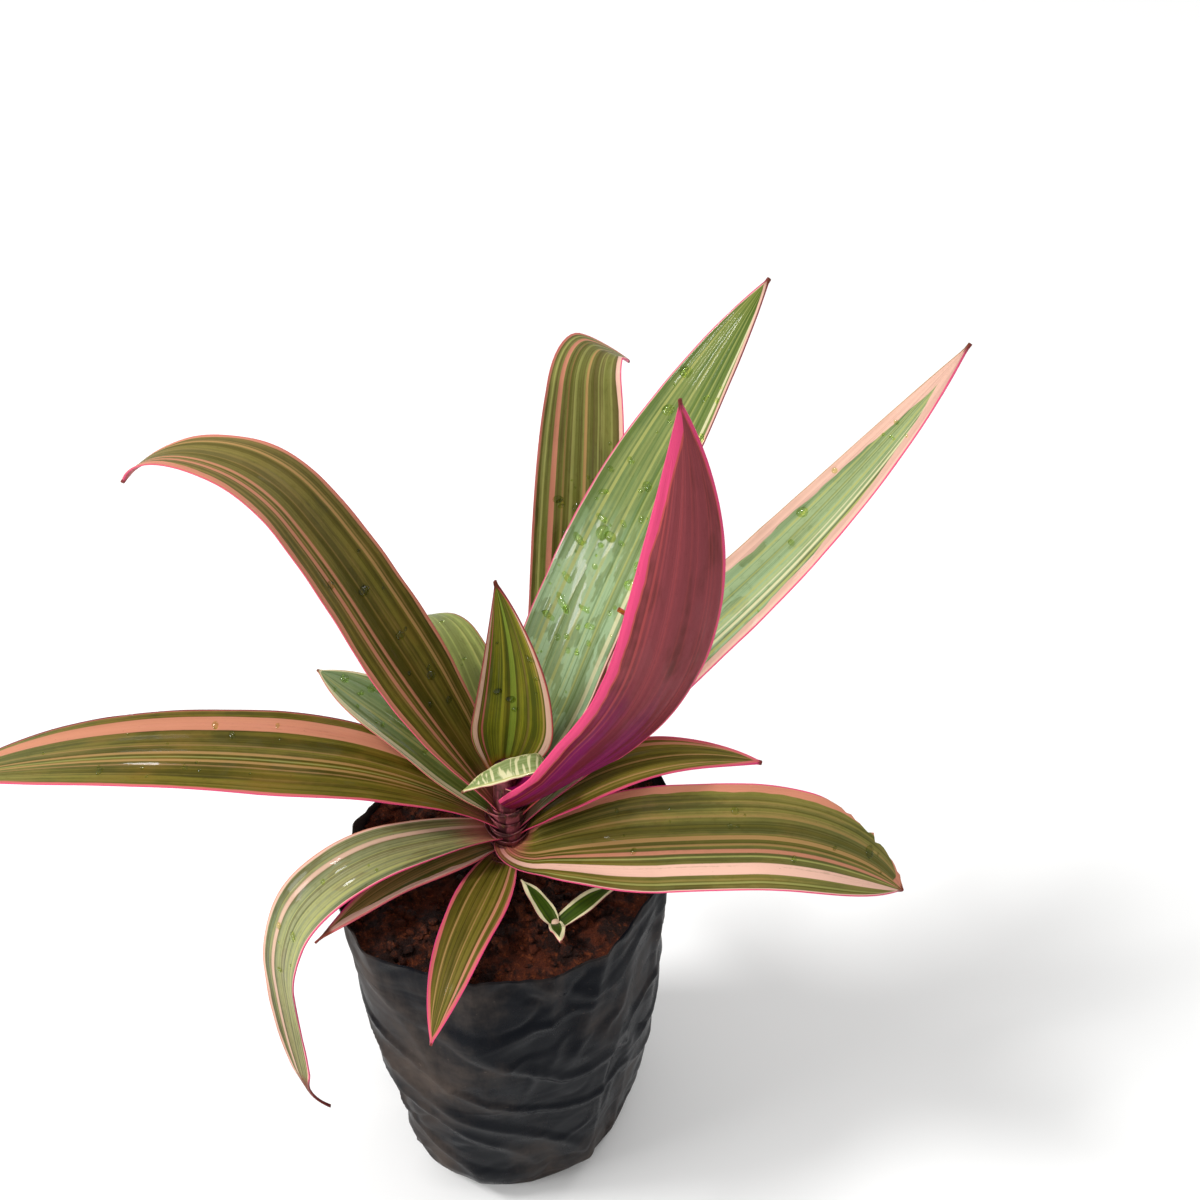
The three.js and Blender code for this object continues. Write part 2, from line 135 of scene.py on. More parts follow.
# How each leaf is coloured. Tones are its darkest and lightest green. Lines are its own stripes of each
# colour, as (place across from -1 to 1, half width on that scale, strength). The left and right margins, as
# seen looking out along the leaf, are (width of the outer seam in millimetres, its colour, width with the
# band inside it, the band's colour). Pale is a run of how strong the bloom is along the leaf; on the tall
# back leaf it also carries a painted sheen, the whitish reflection of the bright surroundings laid into the
# colour.
# Dried is the part of its length that has dried up at the tip, and ribs how strong a crinkled leaf's pale
# cross veins are.
USUAL_LOOK = dict(
    tones=("deep", "olive"), pale={0: 0, 1: 0.1}, bloom="dusty", warm=0.3, lines={}, streaks=0.3,
    streak="tan", left=(0.5, "pink", 1.6, "rose"), right=(0.5, "pink", 1.6, "rose"), flush="rose",
    dried=0.012, wet=0.2, sheen=0.25, turned=False, ribs=0,
)
LOOKS = {
    "leaf_back_tall": dict(
        # its pale run peaks in the lower middle: a painted whitish sheen, the reflection of the bright
        # surroundings, over the glaucous bloom
        tones=("fresh", "mid"), pale={0: 0.42, 0.16: 0.55, 0.3: 0.92, 0.44: 0.8, 0.56: 0.2, 1: 0},
        bloom="glaucous", lines=dict(straw=[(0.6, 0.028, 0.7), (0.7, 0.01, 0.35), (0.36, 0.01, 0.3),
        (0.08, 0.022, 0.55), (-0.2, 0.012, 0.3), (-0.42, 0.018, 0.5)], cream=[(-0.78, 0.04, 0.7)]),
        streaks=0.25, streak="straw", left=(0.5, "pink", 0.9, "blush"), right=(0.4, "maroon", 1.4, "blush"),
        wet=0.75, sheen=0.9, warm=0, flush="grey",
    ),
    "leaf_front_purple": dict(
        lines=dict(coral=[(-0.6, 0.02, 0.8), (-0.48, 0.012, 0.5), (-0.2, 0.008, 0.3), (0.3, 0.008, 0.25),
        (0.66, 0.014, 0.4)]), right=(3, "pink", 3.6, "coral"), left=(0.9, "pink", 1.3, "coral"), sheen=0.6,
    ),
    "leaf_young_centre": dict(
        tones=("moss", "lime"), pale={0: 0, 1: 0}, warm=0.4,
        lines=dict(blush=[(0.84, 0.1, 0.75), (-0.88, 0.07, 0.75)], rose=[(0.71, 0.016, 0.7)],
        maroon=[(0.8, 0.01, 0.6), (0.9, 0.01, 0.6)], sap=[(0, 0.07, 0.75)],
        tan=[(-0.36, 0.02, 0.25), (-0.74, 0.014, 0.6)]), streaks=0.1, left=(0.3, "maroon", 0.7, "rose"),
        right=(0.35, "maroon", 0.9, "coral"), flush="amber", dried=0.03,
    ),
    "leaf_heart_curled": dict(
        tones=("mid", "grey"), pale={0: 0.2, 1: 0.2}, bloom="glaucous", streaks=0.2, streak="cream", warm=0,
        left=(0.5, "cream", 0.9, "straw"), right=(0.5, "cream", 0.9, "straw"), dried=0.02, turned=True,
        flush="rose", ribs=0.75,
    ),
    "leaf_left_arching": dict(
        pale={0: 0, 0.4: 0.1, 0.7: 0.4, 1: 0.4}, lines=dict(tan=[(0.58, 0.01, 0.3), (0.39, 0.01, 0.35),
        (-0.08, 0.01, 0.2), (-0.66, 0.024, 0.85), (-0.74, 0.008, 0.4)], salmon=[(0.49, 0.034, 0.75),
        (0.27, 0.03, 0.7)]), left=(0.45, "rose", 2.8, "salmon"), right=(0.5, "rose", 1.5, "salmon"), warm=0.4,
        streaks=0.2,
    ),
    "leaf_right_low": dict(
        lines=dict(tan=[(0.4, 0.014, 0.35), (0, 0.034, 0.8), (-0.13, 0.012, 0.6)],
        salmon=[(-0.25, 0.03, 0.75)], straw=[(-0.35, 0.01, 0.6), (-0.84, 0.014, 0.5)],
        blush=[(-0.58, 0.1, 0.95)]), streaks=0.35, left=(0.5, "pink", 3.4, "salmon"),
        right=(0.6, "pink", 1, "blush"), dried=0.015, warm=0.35, pale={0: 0, 0.5: 0.15, 1: 0.25},
        bloom="grey",
    ),
    "leaf_back_folded": dict(
        tones=("deep", "mid"), lines=dict(salmon=[(0.62, 0.05, 0.9)],
        straw=[(0.82, 0.014, 0.7), (0.22, 0.03, 0.4), (-0.36, 0.014, 0.35)],
        tan=[(0.4, 0.014, 0.5), (-0.06, 0.028, 0.85)]), left=(0.5, "rose", 1.1, "salmon"),
        right=(0.6, "pink", 2.4, "blush"), warm=0.15, pale={0: 0.1, 0.5: 0.2, 1: 0.45}, streaks=0.35,
        streak="straw",
    ),
    "leaf_right_pale": dict(
        tones=("fresh", "grey"), pale={0: 0.5, 0.45: 0.8, 0.75: 0.4, 1: 0.1}, bloom="glaucous",
        lines=dict(straw=[(0.44, 0.02, 0.7), (0.16, 0.016, 0.45), (-0.16, 0.022, 0.75), (-0.66, 0.03, 0.75)],
        cream=[(-0.36, 0.016, 0.6), (-0.5, 0.03, 0.75)], maroon=[(-0.59, 0.012, 0.5)]), streaks=0.6,
        streak="straw", left=(0.3, "tan", 4, "blush"), right=(0.6, "pink", 3.4, "blush"), sheen=0.5, warm=0,
    ),
    "leaf_left_long": dict(
        lines=dict(salmon=[(-0.66, 0.15, 0.8)],
        tan=[(-0.14, 0.01, 0.3), (0.04, 0.026, 0.65), (0.24, 0.024, 0.65), (0.36, 0.012, 0.45)],
        straw=[(0.15, 0.012, 0.4)]), streaks=0.15, left=(0.4, "pink", 1.3, "rose"),
        right=(0.5, "maroon", 0.7, "rose"), warm=0.5, pale={0: 0, 0.6: 0, 0.9: 0.25, 1: 0.25}, bloom="grey",
    ),
    "leaf_left_drooping": dict(
        tones=("deep", "dusty"), pale={0: 0.1, 0.4: 0.3, 0.7: 0.1, 1: 0}, bloom="glaucous",
        lines=dict(blush=[(-0.5, 0.07, 0.65)], straw=[(-0.66, 0.012, 0.4), (-0.1, 0.012, 0.4),
        (0.2, 0.02, 0.35), (0.45, 0.016, 0.35), (0.66, 0.04, 0.4)]), streaks=0.4, streak="straw",
        left=(0.7, "pink", 1.2, "blush"), right=(0.4, "salmon", 1.2, "blush"), dried=0.12, sheen=0.3,
        warm=0.05,
    ),
    "leaf_left_short": dict(
        tones=("moss", "tan"), lines=dict(tan=[(0.3, 0.05, 0.6), (-0.3, 0.04, 0.6)]), dried=0.08, warm=0.7,
        left=(0.8, "rose", 3, "blush"), right=(0.8, "pink", 2, "salmon"),
    ),
    "leaf_young_right": dict(
        tones=("olive", "tan"), lines=dict(salmon=[(0.3, 0.1, 0.8)], amber=[(-0.3, 0.08, 0.8)]), dried=0.004,
        left=(0.4, "amber", 1.2, "coral"), right=(0.4, "amber", 1.2, "coral"), warm=0.6,
    ),
    "leaf_back_left_low": dict(
        tones=("moss", "mid"), lines=dict(straw=[(-0.6, 0.012, 0.4), (0.1, 0.012, 0.3)]), streaks=0.3,
        streak="straw", pale={0: 0, 0.5: 0.25, 1: 0.4}, bloom="grey", left=(0.4, "maroon", 1, "tan"),
        right=(0.4, "maroon", 0.8, "tan"), sheen=0.6, warm=0.1, wet=0.4,
    ),
    "leaf_left_small": dict(
        tones=("fresh", "mid"), pale={0: 0, 1: 0.4}, bloom="glaucous",
        lines=dict(cream=[(0.84, 0.06, 0.7)], straw=[(0.3, 0.04, 0.5)]), streaks=0.5, streak="straw",
        wet=0.95, left=(0.3, "tan", 1, "cream"), right=(0.3, "tan", 1, "cream"), sheen=1, warm=0,
    ),
    "leaf_front_left": dict(lines=dict(salmon=[(0.6, 0.05, 0.7)], tan=[(0.1, 0.02, 0.5), (-0.5, 0.03, 0.6)])),
    "leaf_right_short": dict(
        lines=dict(salmon=[(0.7, 0.06, 0.7)], tan=[(0.1, 0.03, 0.6), (-0.5, 0.03, 0.6)]),
    ),
}
SHOOT_LOOK = dict(
    tones=("forest", "fresh"), pale={0: 0, 1: 0}, streaks=0.3, streak="cream", warm=0,
    left=(0.1, "blush", 1.6, "cream"), right=(0.1, "blush", 1.1, "cream"), wet=0.1, flush="cream",
)


def of_colour(name, description, red, green, blue):
    """A colour property, with its default given in display values from 0 to 255."""
    linear = [((c / 255 + 0.055) / 1.055) ** 2.4 if c > 10 else c / 255 / 12.92 for c in (red, green, blue)]
    return FloatVectorProperty(name=name, description=description, subtype="COLOR", default=linear)


def of_length(name, description, millimetres):
    """A length property, with its default given in millimetres."""
    default = millimetres * MM
    return FloatProperty(name=name, description=description, unit="LENGTH", default=default, precision=4)


def of_power(name, description, watts):
    """A lamp's power property."""
    return FloatProperty(name=name, description=description, unit="POWER", default=watts)


class TRADESCANTIA_PG_leaves(bpy.types.PropertyGroup):
    """Sizes and colours of the leaves."""

    mid_thickness: of_length("Middle", "Thickness of a blade at its midrib", 1.3)
    edge_thickness: of_length("Margin", "Thickness of a blade at its margin", 0.6)
    ripple: of_length("Ripple", "Height of the margins' waves", 0.5)
    keel: of_length("Keel", "Depth of the groove along the midrib", 0.45)
    pleat: of_length("Pleats", "Height of the low folds that run along a blade", 0.12)
    deep: of_colour("Deep olive", "Darkest green of the full-grown leaves", 64, 58, 3)
    forest: of_colour("Forest green", "Darkest green of the shoot", 40, 58, 12)
    moss: of_colour("Moss green", "Darkest green of the leaves with a cooler green", 74, 80, 14)
    fresh: of_colour("Fresh green", "Darkest green of the young and pale leaves", 68, 90, 16)
    olive: of_colour("Olive", "Lightest green of the full-grown leaves", 114, 104, 34)
    lime: of_colour("Lime green", "Lightest green of the young leaf", 142, 142, 34)
    mid: of_colour("Middle green", "Lightest green of the upright leaves", 104, 116, 42)
    grey: of_colour("Grey green", "Lightest green of the pale leaves", 150, 158, 102)
    # the glaucous tone is also the colour of the painted sheen on the tall back leaf
    glaucous: of_colour("Glaucous green", "Bloom of the pale leaves", 158, 184, 142)
    dusty: of_colour("Dusty olive", "Bloom of the full-grown leaves", 136, 124, 78)
    sap: of_colour("Sap green", "The young leaf's midrib", 130, 152, 52)
    warm: of_colour("Warm tinge", "Brownish tinge of the ageing upper faces", 110, 80, 24)
    cream: of_colour("Cream", "The palest stripes", 226, 218, 172)
    straw: of_colour("Straw", "The yellowish stripes of the greener leaves", 172, 172, 98)
    tan: of_colour("Tan", "The narrow brownish stripes", 176, 136, 86)
    salmon: of_colour("Salmon", "The wide pinkish stripes", 206, 134, 108)
    blush: of_colour("Blush", "The pale pink stripes", 230, 184, 164)
    amber: of_colour("Amber", "Orange marks on the young leaves", 186, 104, 30)
    coral: of_colour("Coral", "The lines on the undersides", 184, 78, 76)
    rose: of_colour("Rose", "The bands inside the margins", 204, 102, 100)
    pink: of_colour("Pink", "The seams of the margins", 218, 70, 118)
    maroon: of_colour("Maroon", "The darkest seams, and shades of the undersides", 96, 42, 40)
    purple: of_colour("Purple", "The undersides", 130, 58, 64)
    crimson: of_colour("Crimson", "Shades of the undersides near the heart", 98, 12, 34)
    magenta: of_colour("Magenta", "The undersides near the heart", 114, 8, 74)
    dried: of_colour("Dried", "The dried tips", 122, 58, 22)


class TRADESCANTIA_PG_bag(bpy.types.PropertyGroup):
    """Sizes and colours of the grow bag."""

    rim_height: of_length("Rim height", "Mean height of the rim", 204)
    rim_radius: of_length("Rim radius", "Mean radius at the rim", 68.5)
    foot_radius: of_length("Foot radius", "Mean radius at the foot", 53)
    edge_radius: of_length("Edge radius", "Rounding between wall and base", 12)
    film: of_length("Film", "Thickness of the film", 0.5)
    dents: of_length("Dents", "Depth of the broad dents between the folds", 2.8)
    folds: of_length("Folds", "Height of the upright folds", 2.0)
    creases: of_length("Creases", "Height of the slanting creases", 1.3)
    # the film is black; the blue in its colour is a painted reflection of the sky
    colour: of_colour("Film colour", "Colour of the black film", 7, 10, 17)
    # dried mud on the film, and also the grey of a painted sheen on its left side
    dust: of_colour("Dust", "Dried mud on the film", 120, 106, 96)


class TRADESCANTIA_PG_soil(bpy.types.PropertyGroup):
    """Sizes and colours of the soil."""

    level: of_length("Level", "Height of the soil at the bag's wall", 197)
    mound: of_length("Mound", "How much higher the soil lies at the stem", 3)
    lumps: of_length("Lumps", "Height of the soil's lumps", 2.2)
    grit: of_length("Grit", "Height of the soil's grit", 1.1)
    crumbs: IntProperty(name="Crumbs", description="Loose crumbs on the soil", default=1000, min=0)
    colour: of_colour("Soil", "Moist soil", 84, 36, 16)
    dark: of_colour("Dark soil", "Wet and shaded soil", 36, 13, 5)
    # the dry tone is dry crumbs and also soil in painted light, as the dark tone is wet soil and painted
    # shade
    light: of_colour("Dry soil", "Dry crumbs", 150, 78, 36)


class TRADESCANTIA_PG_stem(bpy.types.PropertyGroup):
    """Sizes and colours of the stem and the sheaths round it."""

    sheath: of_length("Sheath", "Length of the sheath under each leaf's root", 9)
    flare: of_length("Flare", "How far a sheath's rim stands out from the stem", 1.5)
    colour: of_colour("Stem", "Skin of the stem", 112, 52, 58)
    veins: of_colour("Veins", "Veins and rims of the sheaths", 186, 96, 108)
    green: of_colour("Green", "Green of the sheaths near the leaves", 120, 112, 52)


class TRADESCANTIA_PG_drops(bpy.types.PropertyGroup):
    """Water drops on the leaves."""

    smallest: of_length("Smallest", "Radius of the smallest drops", 0.5)
    largest: of_length("Largest", "Radius of the largest drops", 2.2)
    # the green tint darkens what shows through a drop: painted shade, and the deeper green of the wetted leaf
    tint: of_colour("Tint", "Colour of the light that comes through the water", 192, 206, 140)


class TRADESCANTIA_PG_stage(bpy.types.PropertyGroup):
    """The floor, the lights and the camera."""

    floor: of_colour("Floor", "Colour of the floor", 246, 246, 245)
    sky: FloatProperty(name="Sky", description="Strength of the even light from all round", default=0.64)
    key: of_power("Key", "Power of the main light", 175)
    fill: of_power("Fill", "Power of the light from the other side", 60)
    low: of_power("Low", "Power of the low light that the drops show", 12)


GROUPS = {
    "tradescantia_leaves": TRADESCANTIA_PG_leaves,
    "tradescantia_bag": TRADESCANTIA_PG_bag,
    "tradescantia_soil": TRADESCANTIA_PG_soil,
    "tradescantia_stem": TRADESCANTIA_PG_stem,
    "tradescantia_drops": TRADESCANTIA_PG_drops,
    "tradescantia_stage": TRADESCANTIA_PG_stage,
}


# ---- Shader maths ----
class Flow:
    """A shader socket that Python's arithmetic works on: an expression adds its Math nodes."""

    def __init__(self, finish, socket):
        self.finish, self.socket = finish, socket

    def through(self, operation, *values, first=None):
        numbers = [self if first is None else first, *values]
        node = self.finish.add("ShaderNodeMath", {"operation": operation}, dict(enumerate(numbers)))
        return Flow(self.finish, node.outputs[0])

    def __add__(self, other):
        return self.through("ADD", other)

    def __mul__(self, other):
        return self.through("MULTIPLY", other)

    def __sub__(self, other):
        return self.through("SUBTRACT", other)

    def __rsub__(self, other):
        return self.through("SUBTRACT", self, first=other)

    def __truediv__(self, other):
        return self.through("DIVIDE", other)

    __radd__, __rmul__ = __add__, __mul__


class Finish:
    """A material with a principled surface, and the nodes that feed it."""

    def __init__(self, name):
        self.material = bpy.data.materials.new(name)
        self.material.use_nodes = True
        self.tree = self.material.node_tree
        self.surface = self.tree.nodes["Principled BSDF"]

    def add(self, kind, settings=(), sockets=()):
        """A node of a kind, with its settings set first and then the values or links of its sockets."""
        node = self.tree.nodes.new(kind)
        for key, value in dict(settings).items():
            if key == "stops":
                ramp = node.color_ramp
                while len(ramp.elements) < len(value):
                    ramp.elements.new(1.0)
                for element, (place, colour) in zip(ramp.elements, value):
                    element.position, element.color = place, colour
            else:
                setattr(node, key, value)
        for key, value in dict(sockets).items():
            if isinstance(value, Flow):
                self.tree.links.new(value.socket, node.inputs[key])
            else:
                node.inputs[key].default_value = value
        return node

    def flow(self, kind, output, settings=(), sockets=()):
        return Flow(self, self.add(kind, settings, sockets).outputs[output])

    def attribute(self, name):
        return self.flow("ShaderNodeAttribute", "Fac", {"attribute_name": name})

    def point(self, x, y, z=0.0):
        return self.flow("ShaderNodeCombineXYZ", 0, (), {0: x, 1: y, 2: z})

    def place(self):
        return self.flow("ShaderNodeTexCoord", "Object")

    def stretched(self, scale, rotation=(0, 0, 0)):
        """The object's own coordinates, turned and stretched."""
        return self.flow("ShaderNodeMapping", 0, (), {0: self.place(), "Rotation": rotation, "Scale": scale})

    def noise(self, vector, scale=1.0, detail=2.0, roughness=0.5, distortion=0.0):
        values = {"Scale": scale, "Detail": detail, "Roughness": roughness, "Distortion": distortion}
        return self.flow("ShaderNodeTexNoise", "Fac", (), {"Vector": vector, **values})

    def smooth(self, value, low, high):
        """0 under low, 1 over high, and a soft step between them."""
        sockets = {"Value": value, "From Min": low, "From Max": high}
        return self.flow("ShaderNodeMapRange", 0, {"interpolation_type": "SMOOTHSTEP"}, sockets)

    def over(self, value, run):
        """A number that changes over a value from 0 to 1, from its run of numbers at places."""
        stops = [(place, (number, number, number, 1.0)) for place, number in run.items()]
        return self.flow("ShaderNodeValToRGB", 0, {"stops": stops}, {"Fac": value})

    def mix(self, share, first, second):
        sockets = {0: share, 6: opaque(first), 7: opaque(second)}
        return self.flow("ShaderNodeMix", 2, {"data_type": "RGBA"}, sockets)

    def turn(self, colour, other, value, low, high, share=1.0):
        """The colour, turned into the other by a share as a value passes from low to high."""
        return self.mix(self.smooth(value, low, high) * share, colour, other)

    def bump(self, height, distance, strength=1.0):
        sockets = {"Strength": strength, "Distance": distance, "Height": height}
        return self.flow("ShaderNodeBump", 0, (), sockets)

    def set(self, **sockets):
        for key, value in sockets.items():
            socket = self.surface.inputs[key.replace("_", " ")]
            if isinstance(value, Flow):
                self.tree.links.new(value.socket, socket)
            else:
                socket.default_value = opaque(value)
        return self.material


def opaque(value):
    """A colour of three numbers gets its alpha. Anything else stays."""
    if isinstance(value, (Flow, float, int)):
        return value
    return (*value, 1.0) if len(value) == 3 else tuple(value)


# ---- Small helpers ----
def lerp(first, last, part):
    return first + (last - first) * part


def smoothstep(value, low, high):
    part = min(max((value - low) / (high - low), 0.0), 1.0)
    return part * part * (3 - 2 * part)


def place_object(name, form, material):
    """The bmesh as an object of the scene."""
    mesh = bpy.data.meshes.new(name)
    form.to_mesh(mesh)
    form.free()
    mesh.materials.append(material)
    piece = bpy.data.objects.new(name, mesh)
    bpy.context.scene.collection.objects.link(piece)
    return piece


def settle(name, form, material):
    """The bmesh as a smooth piece that rides on the frame's one body."""
    for face in form.faces:
        face.smooth = True
    piece = place_object(name, form, material)
    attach(piece, "root")
    return piece


def join(form, part):
    """Adds a bmesh to a larger one."""
    scratch = bpy.data.meshes.new("part")
    part.to_mesh(scratch)
    part.free()
    form.from_mesh(scratch)
    bpy.data.meshes.remove(scratch)


def face_outwards(form):
    """Turns the faces of a closed skin outwards, also where it is thin and curved."""
    bmesh.ops.recalc_face_normals(form, faces=form.faces)
    if form.calc_volume(signed=True) < 0:
        bmesh.ops.reverse_faces(form, faces=form.faces)


def spun(profile, steps, shape=None):
    """A bmesh spun from a profile of (radius, height) points in metres about the upright axis. A shape is a
    function that moves each of its points."""
    form = bmesh.new()
    corners = [form.verts.new((radius, 0, height)) for radius, height in profile]
    edges = [form.edges.new(pair) for pair in zip(corners, corners[1:])]
    bmesh.ops.spin(
        form, geom=corners + edges, cent=(0, 0, 0), axis=(0, 0, 1), angle=WHOLE_TURN, steps=steps,
        use_merge=True,
    )
    bmesh.ops.remove_doubles(form, verts=form.verts, dist=1e-6)
    if shape:
        for vert in form.verts:
            vert.co = shape(vert.co)
    face_outwards(form)
    return form


# ---- Leaf shapes ----
STEM = dict(foot=176, top=251, foot_radius=9.5, top_radius=5)
LEAF_USUAL = dict(
    roll=0, widest=0.4, clasp=50, channel=20, clasp_length=0.2, tip_width=1.2, ripples=2, tuck=2.7, root=None,
    crinkle=(0.5, 16), wither=0, torn=0,
)
ROOT_LIMIT = 13
STATION_STEP = 1.0  # millimetres between the stations along a midrib
LEAF_SEEDS = {name: i * 5.3 for i, name in enumerate(LEAVES)}
PLEAT_PITCH = 5.0  # millimetres between the low folds that run along a blade


def stem_radius(height):
    """The stem's radius at a height, in millimetres."""
    return lerp(STEM["foot_radius"], STEM["top_radius"], smoothstep(height, STEM["foot"], STEM["top"]))


def complete(leaf):
    whole = {**LEAF_USUAL, "root_width": min(leaf["width"] * 0.5, ROOT_LIMIT), **leaf}
    if whole["root"] is None:
        start = angle_at(whole["side"], 0)
        reach = stem_radius(whole["height"]) - whole["tuck"]
        whole["root"] = (reach * math.cos(start), reach * math.sin(start))
    return whole


def angle_at(run, part):
    """A run's angle at a part of the length, in radians."""
    if not isinstance(run, dict):
        return math.radians(run)
    stops = list(run.items())
    for (low, first), (high, last) in zip(stops, stops[1:]):
        if part < high:
            return math.radians(lerp(first, last, (part - low) / (high - low)))
    return math.radians(stops[-1][1])


def half_width(leaf, part):
    """Half the leaf's width at a part of its length, in millimetres."""
    root = leaf["root_width"] / leaf["width"]
    swell = math.sin(math.pi / 2 * min(1, part / leaf["widest"]))
    body = lerp(root, 1, swell) * (1 - part ** leaf["taper"])
    if leaf["wither"]:
        body *= 1 - 0.55 * smoothstep(part, 1 - leaf["wither"] * 1.3, 1 - leaf["wither"] * 0.7)
    return max(leaf["tip_width"], leaf["width"] * body) / 2


def follow_midrib(leaf):
    """The midrib's stations: its place in millimetres, and the directions across the blade and out of it."""
    steps = max(24, round(leaf["length"] / STATION_STEP))
    place = Vector((*leaf["root"], leaf["height"]))
    stations = []
    for i in range(steps + 1):
        part = i / steps
        side, climb, roll = (angle_at(leaf[run], part) for run in ("side", "climb", "roll"))
        level = math.cos(climb)
        along = Vector((math.cos(side) * level, math.sin(side) * level, math.sin(climb)))
        across = Matrix.Rotation(roll, 3, along) @ Vector((-math.sin(side), math.cos(side), 0))
        stations.append((place.copy(), across, along.cross(across)))
        place += along * (leaf["length"] / steps)
    return stations


def station_at(stations, part):
    """The station at a part of the length, between its two neighbours."""
    where = part * (len(stations) - 1)
    low = min(int(where), len(stations) - 2)
    return [a.lerp(b, where - low) for a, b in zip(stations[low], stations[low + 1])]


def torn_to(leaf, part, s):
    """The place across where the blade still is: its left margin is torn away near the tip."""
    if not leaf["torn"] or s <= 0:
        return s
    ragged = 0.8 + 0.5 * noise.noise(Vector((part * 70, 0, 5)))
    return s * (1 - leaf["torn"] * ragged * smoothstep(part, 0.72, 0.92))


def on_leaf(leaf, stations, part, s, face, sizes, seed):
    """A point on the upper (face 1), middle (0) or lower (-1) side of a leaf, in metres."""
    place, across, up = station_at(stations, part)
    half = half_width(leaf, part)
    arc = math.radians(lerp(leaf["clasp"], leaf["channel"], smoothstep(part, 0, leaf["clasp_length"])))
    sideways = half * math.sin(arc * s) / arc
    lift = half * (1 - math.cos(arc * s)) / arc
    wave = math.sin(WHOLE_TURN * leaf["ripples"] * part + math.copysign(1, s)) if s else 0.0
    lift += sizes.ripple / MM * s * s * wave
    depth, length = leaf["crinkle"]
    lift += depth * s * s * half / 20 * noise.noise(Vector((part * leaf["length"] / length, 3 * s, seed)))
    lift -= sizes.keel / MM * math.exp(-((s / 0.07) ** 2)) * smoothstep(half, 3, 12)
    pleats = round(leaf["width"] / PLEAT_PITCH)
    lift += sizes.pleat / MM * math.cos(math.pi * pleats * s) * smoothstep(half, 3, 12)
    thickness = lerp(sizes.mid_thickness, sizes.edge_thickness, s * s) / MM
    return (place + across * sideways + up * (lift + face * thickness / 2)) * MM


def leaf_form(leaf, sizes, seed, row_step=2.0, columns=36):
    """A leaf as one closed skin. Its own map gives the place across and along, and attributes the distance to
    the margin in millimetres and the face it lies on."""
    stations = follow_midrib(leaf)
    form = bmesh.new()
    rows = max(16, round(leaf["length"] / row_step))
    bmesh.ops.create_grid(form, x_segments=columns, y_segments=rows, size=1)
    across, along, under, margin = (
        form.verts.layers.float.new(name) for name in ("across", "along", "under", "margin")
    )
    for vert in form.verts:
        vert[along] = (vert.co.y + 1) / 2
        # columns crowd towards the margins, where the colours change fastest
        vert[across] = torn_to(leaf, vert[along], math.sin(vert.co.x * math.pi / 2) * 0.4 + vert.co.x * 0.6)
    top = form.faces[:]
    grown = bmesh.ops.extrude_face_region(form, geom=top, use_keep_orig=True)
    for item in grown["geom"]:
        if isinstance(item, bmesh.types.BMVert):
            item[under] = 1.0
    for vert in form.verts:
        part, s = vert[along], vert[across]
        vert.co = on_leaf(leaf, stations, part, s, 1 - 2 * vert[under], sizes, seed)
        vert[margin] = (1 - abs(s)) * half_width(leaf, part)
        vert[margin] = min(vert[margin], (1 - part) * leaf["length"] * 0.5)
    face_outwards(form)

    def on_margin(vert):
        return abs(vert[across]) > 0.9999

    rims = [
        e for e in form.edges
        if on_margin(e.verts[0]) and on_margin(e.verts[1]) and e.verts[0][under] == e.verts[1][under]
    ]
    bmesh.ops.bevel(
        form, geom=rims, offset=0.16 * MM, segments=2, profile=0.5, affect="EDGES", material=-1,
        clamp_overlap=True,
    )
    own_map = form.loops.layers.uv.new("leaf")
    for face in form.faces:
        for loop in face.loops:
            loop[own_map].uv = (loop.vert[across] * 0.5 + 0.5, loop.vert[along])
    return form


# ---- Leaf finish ----
LINE_EDGE = 0.012  # how soft a stripe's edge is, on the scale across the leaf
LINES_PER_RAMP = 8


def line_stops(lines, colours):
    """Colour stops across the leaf for some of its stripes. Their alpha is the stripe's strength."""
    stops = []
    for place, half, strength, name in lines:
        outer = half + LINE_EDGE
        for offset, alpha in ((-outer, 0), (-half, strength), (half, strength), (outer, 0)):
            spot = min(max((place + offset) * 0.5 + 0.5, 0.0), 1.0)
            stops.append((spot, (*getattr(colours, name), alpha)))
    return stops


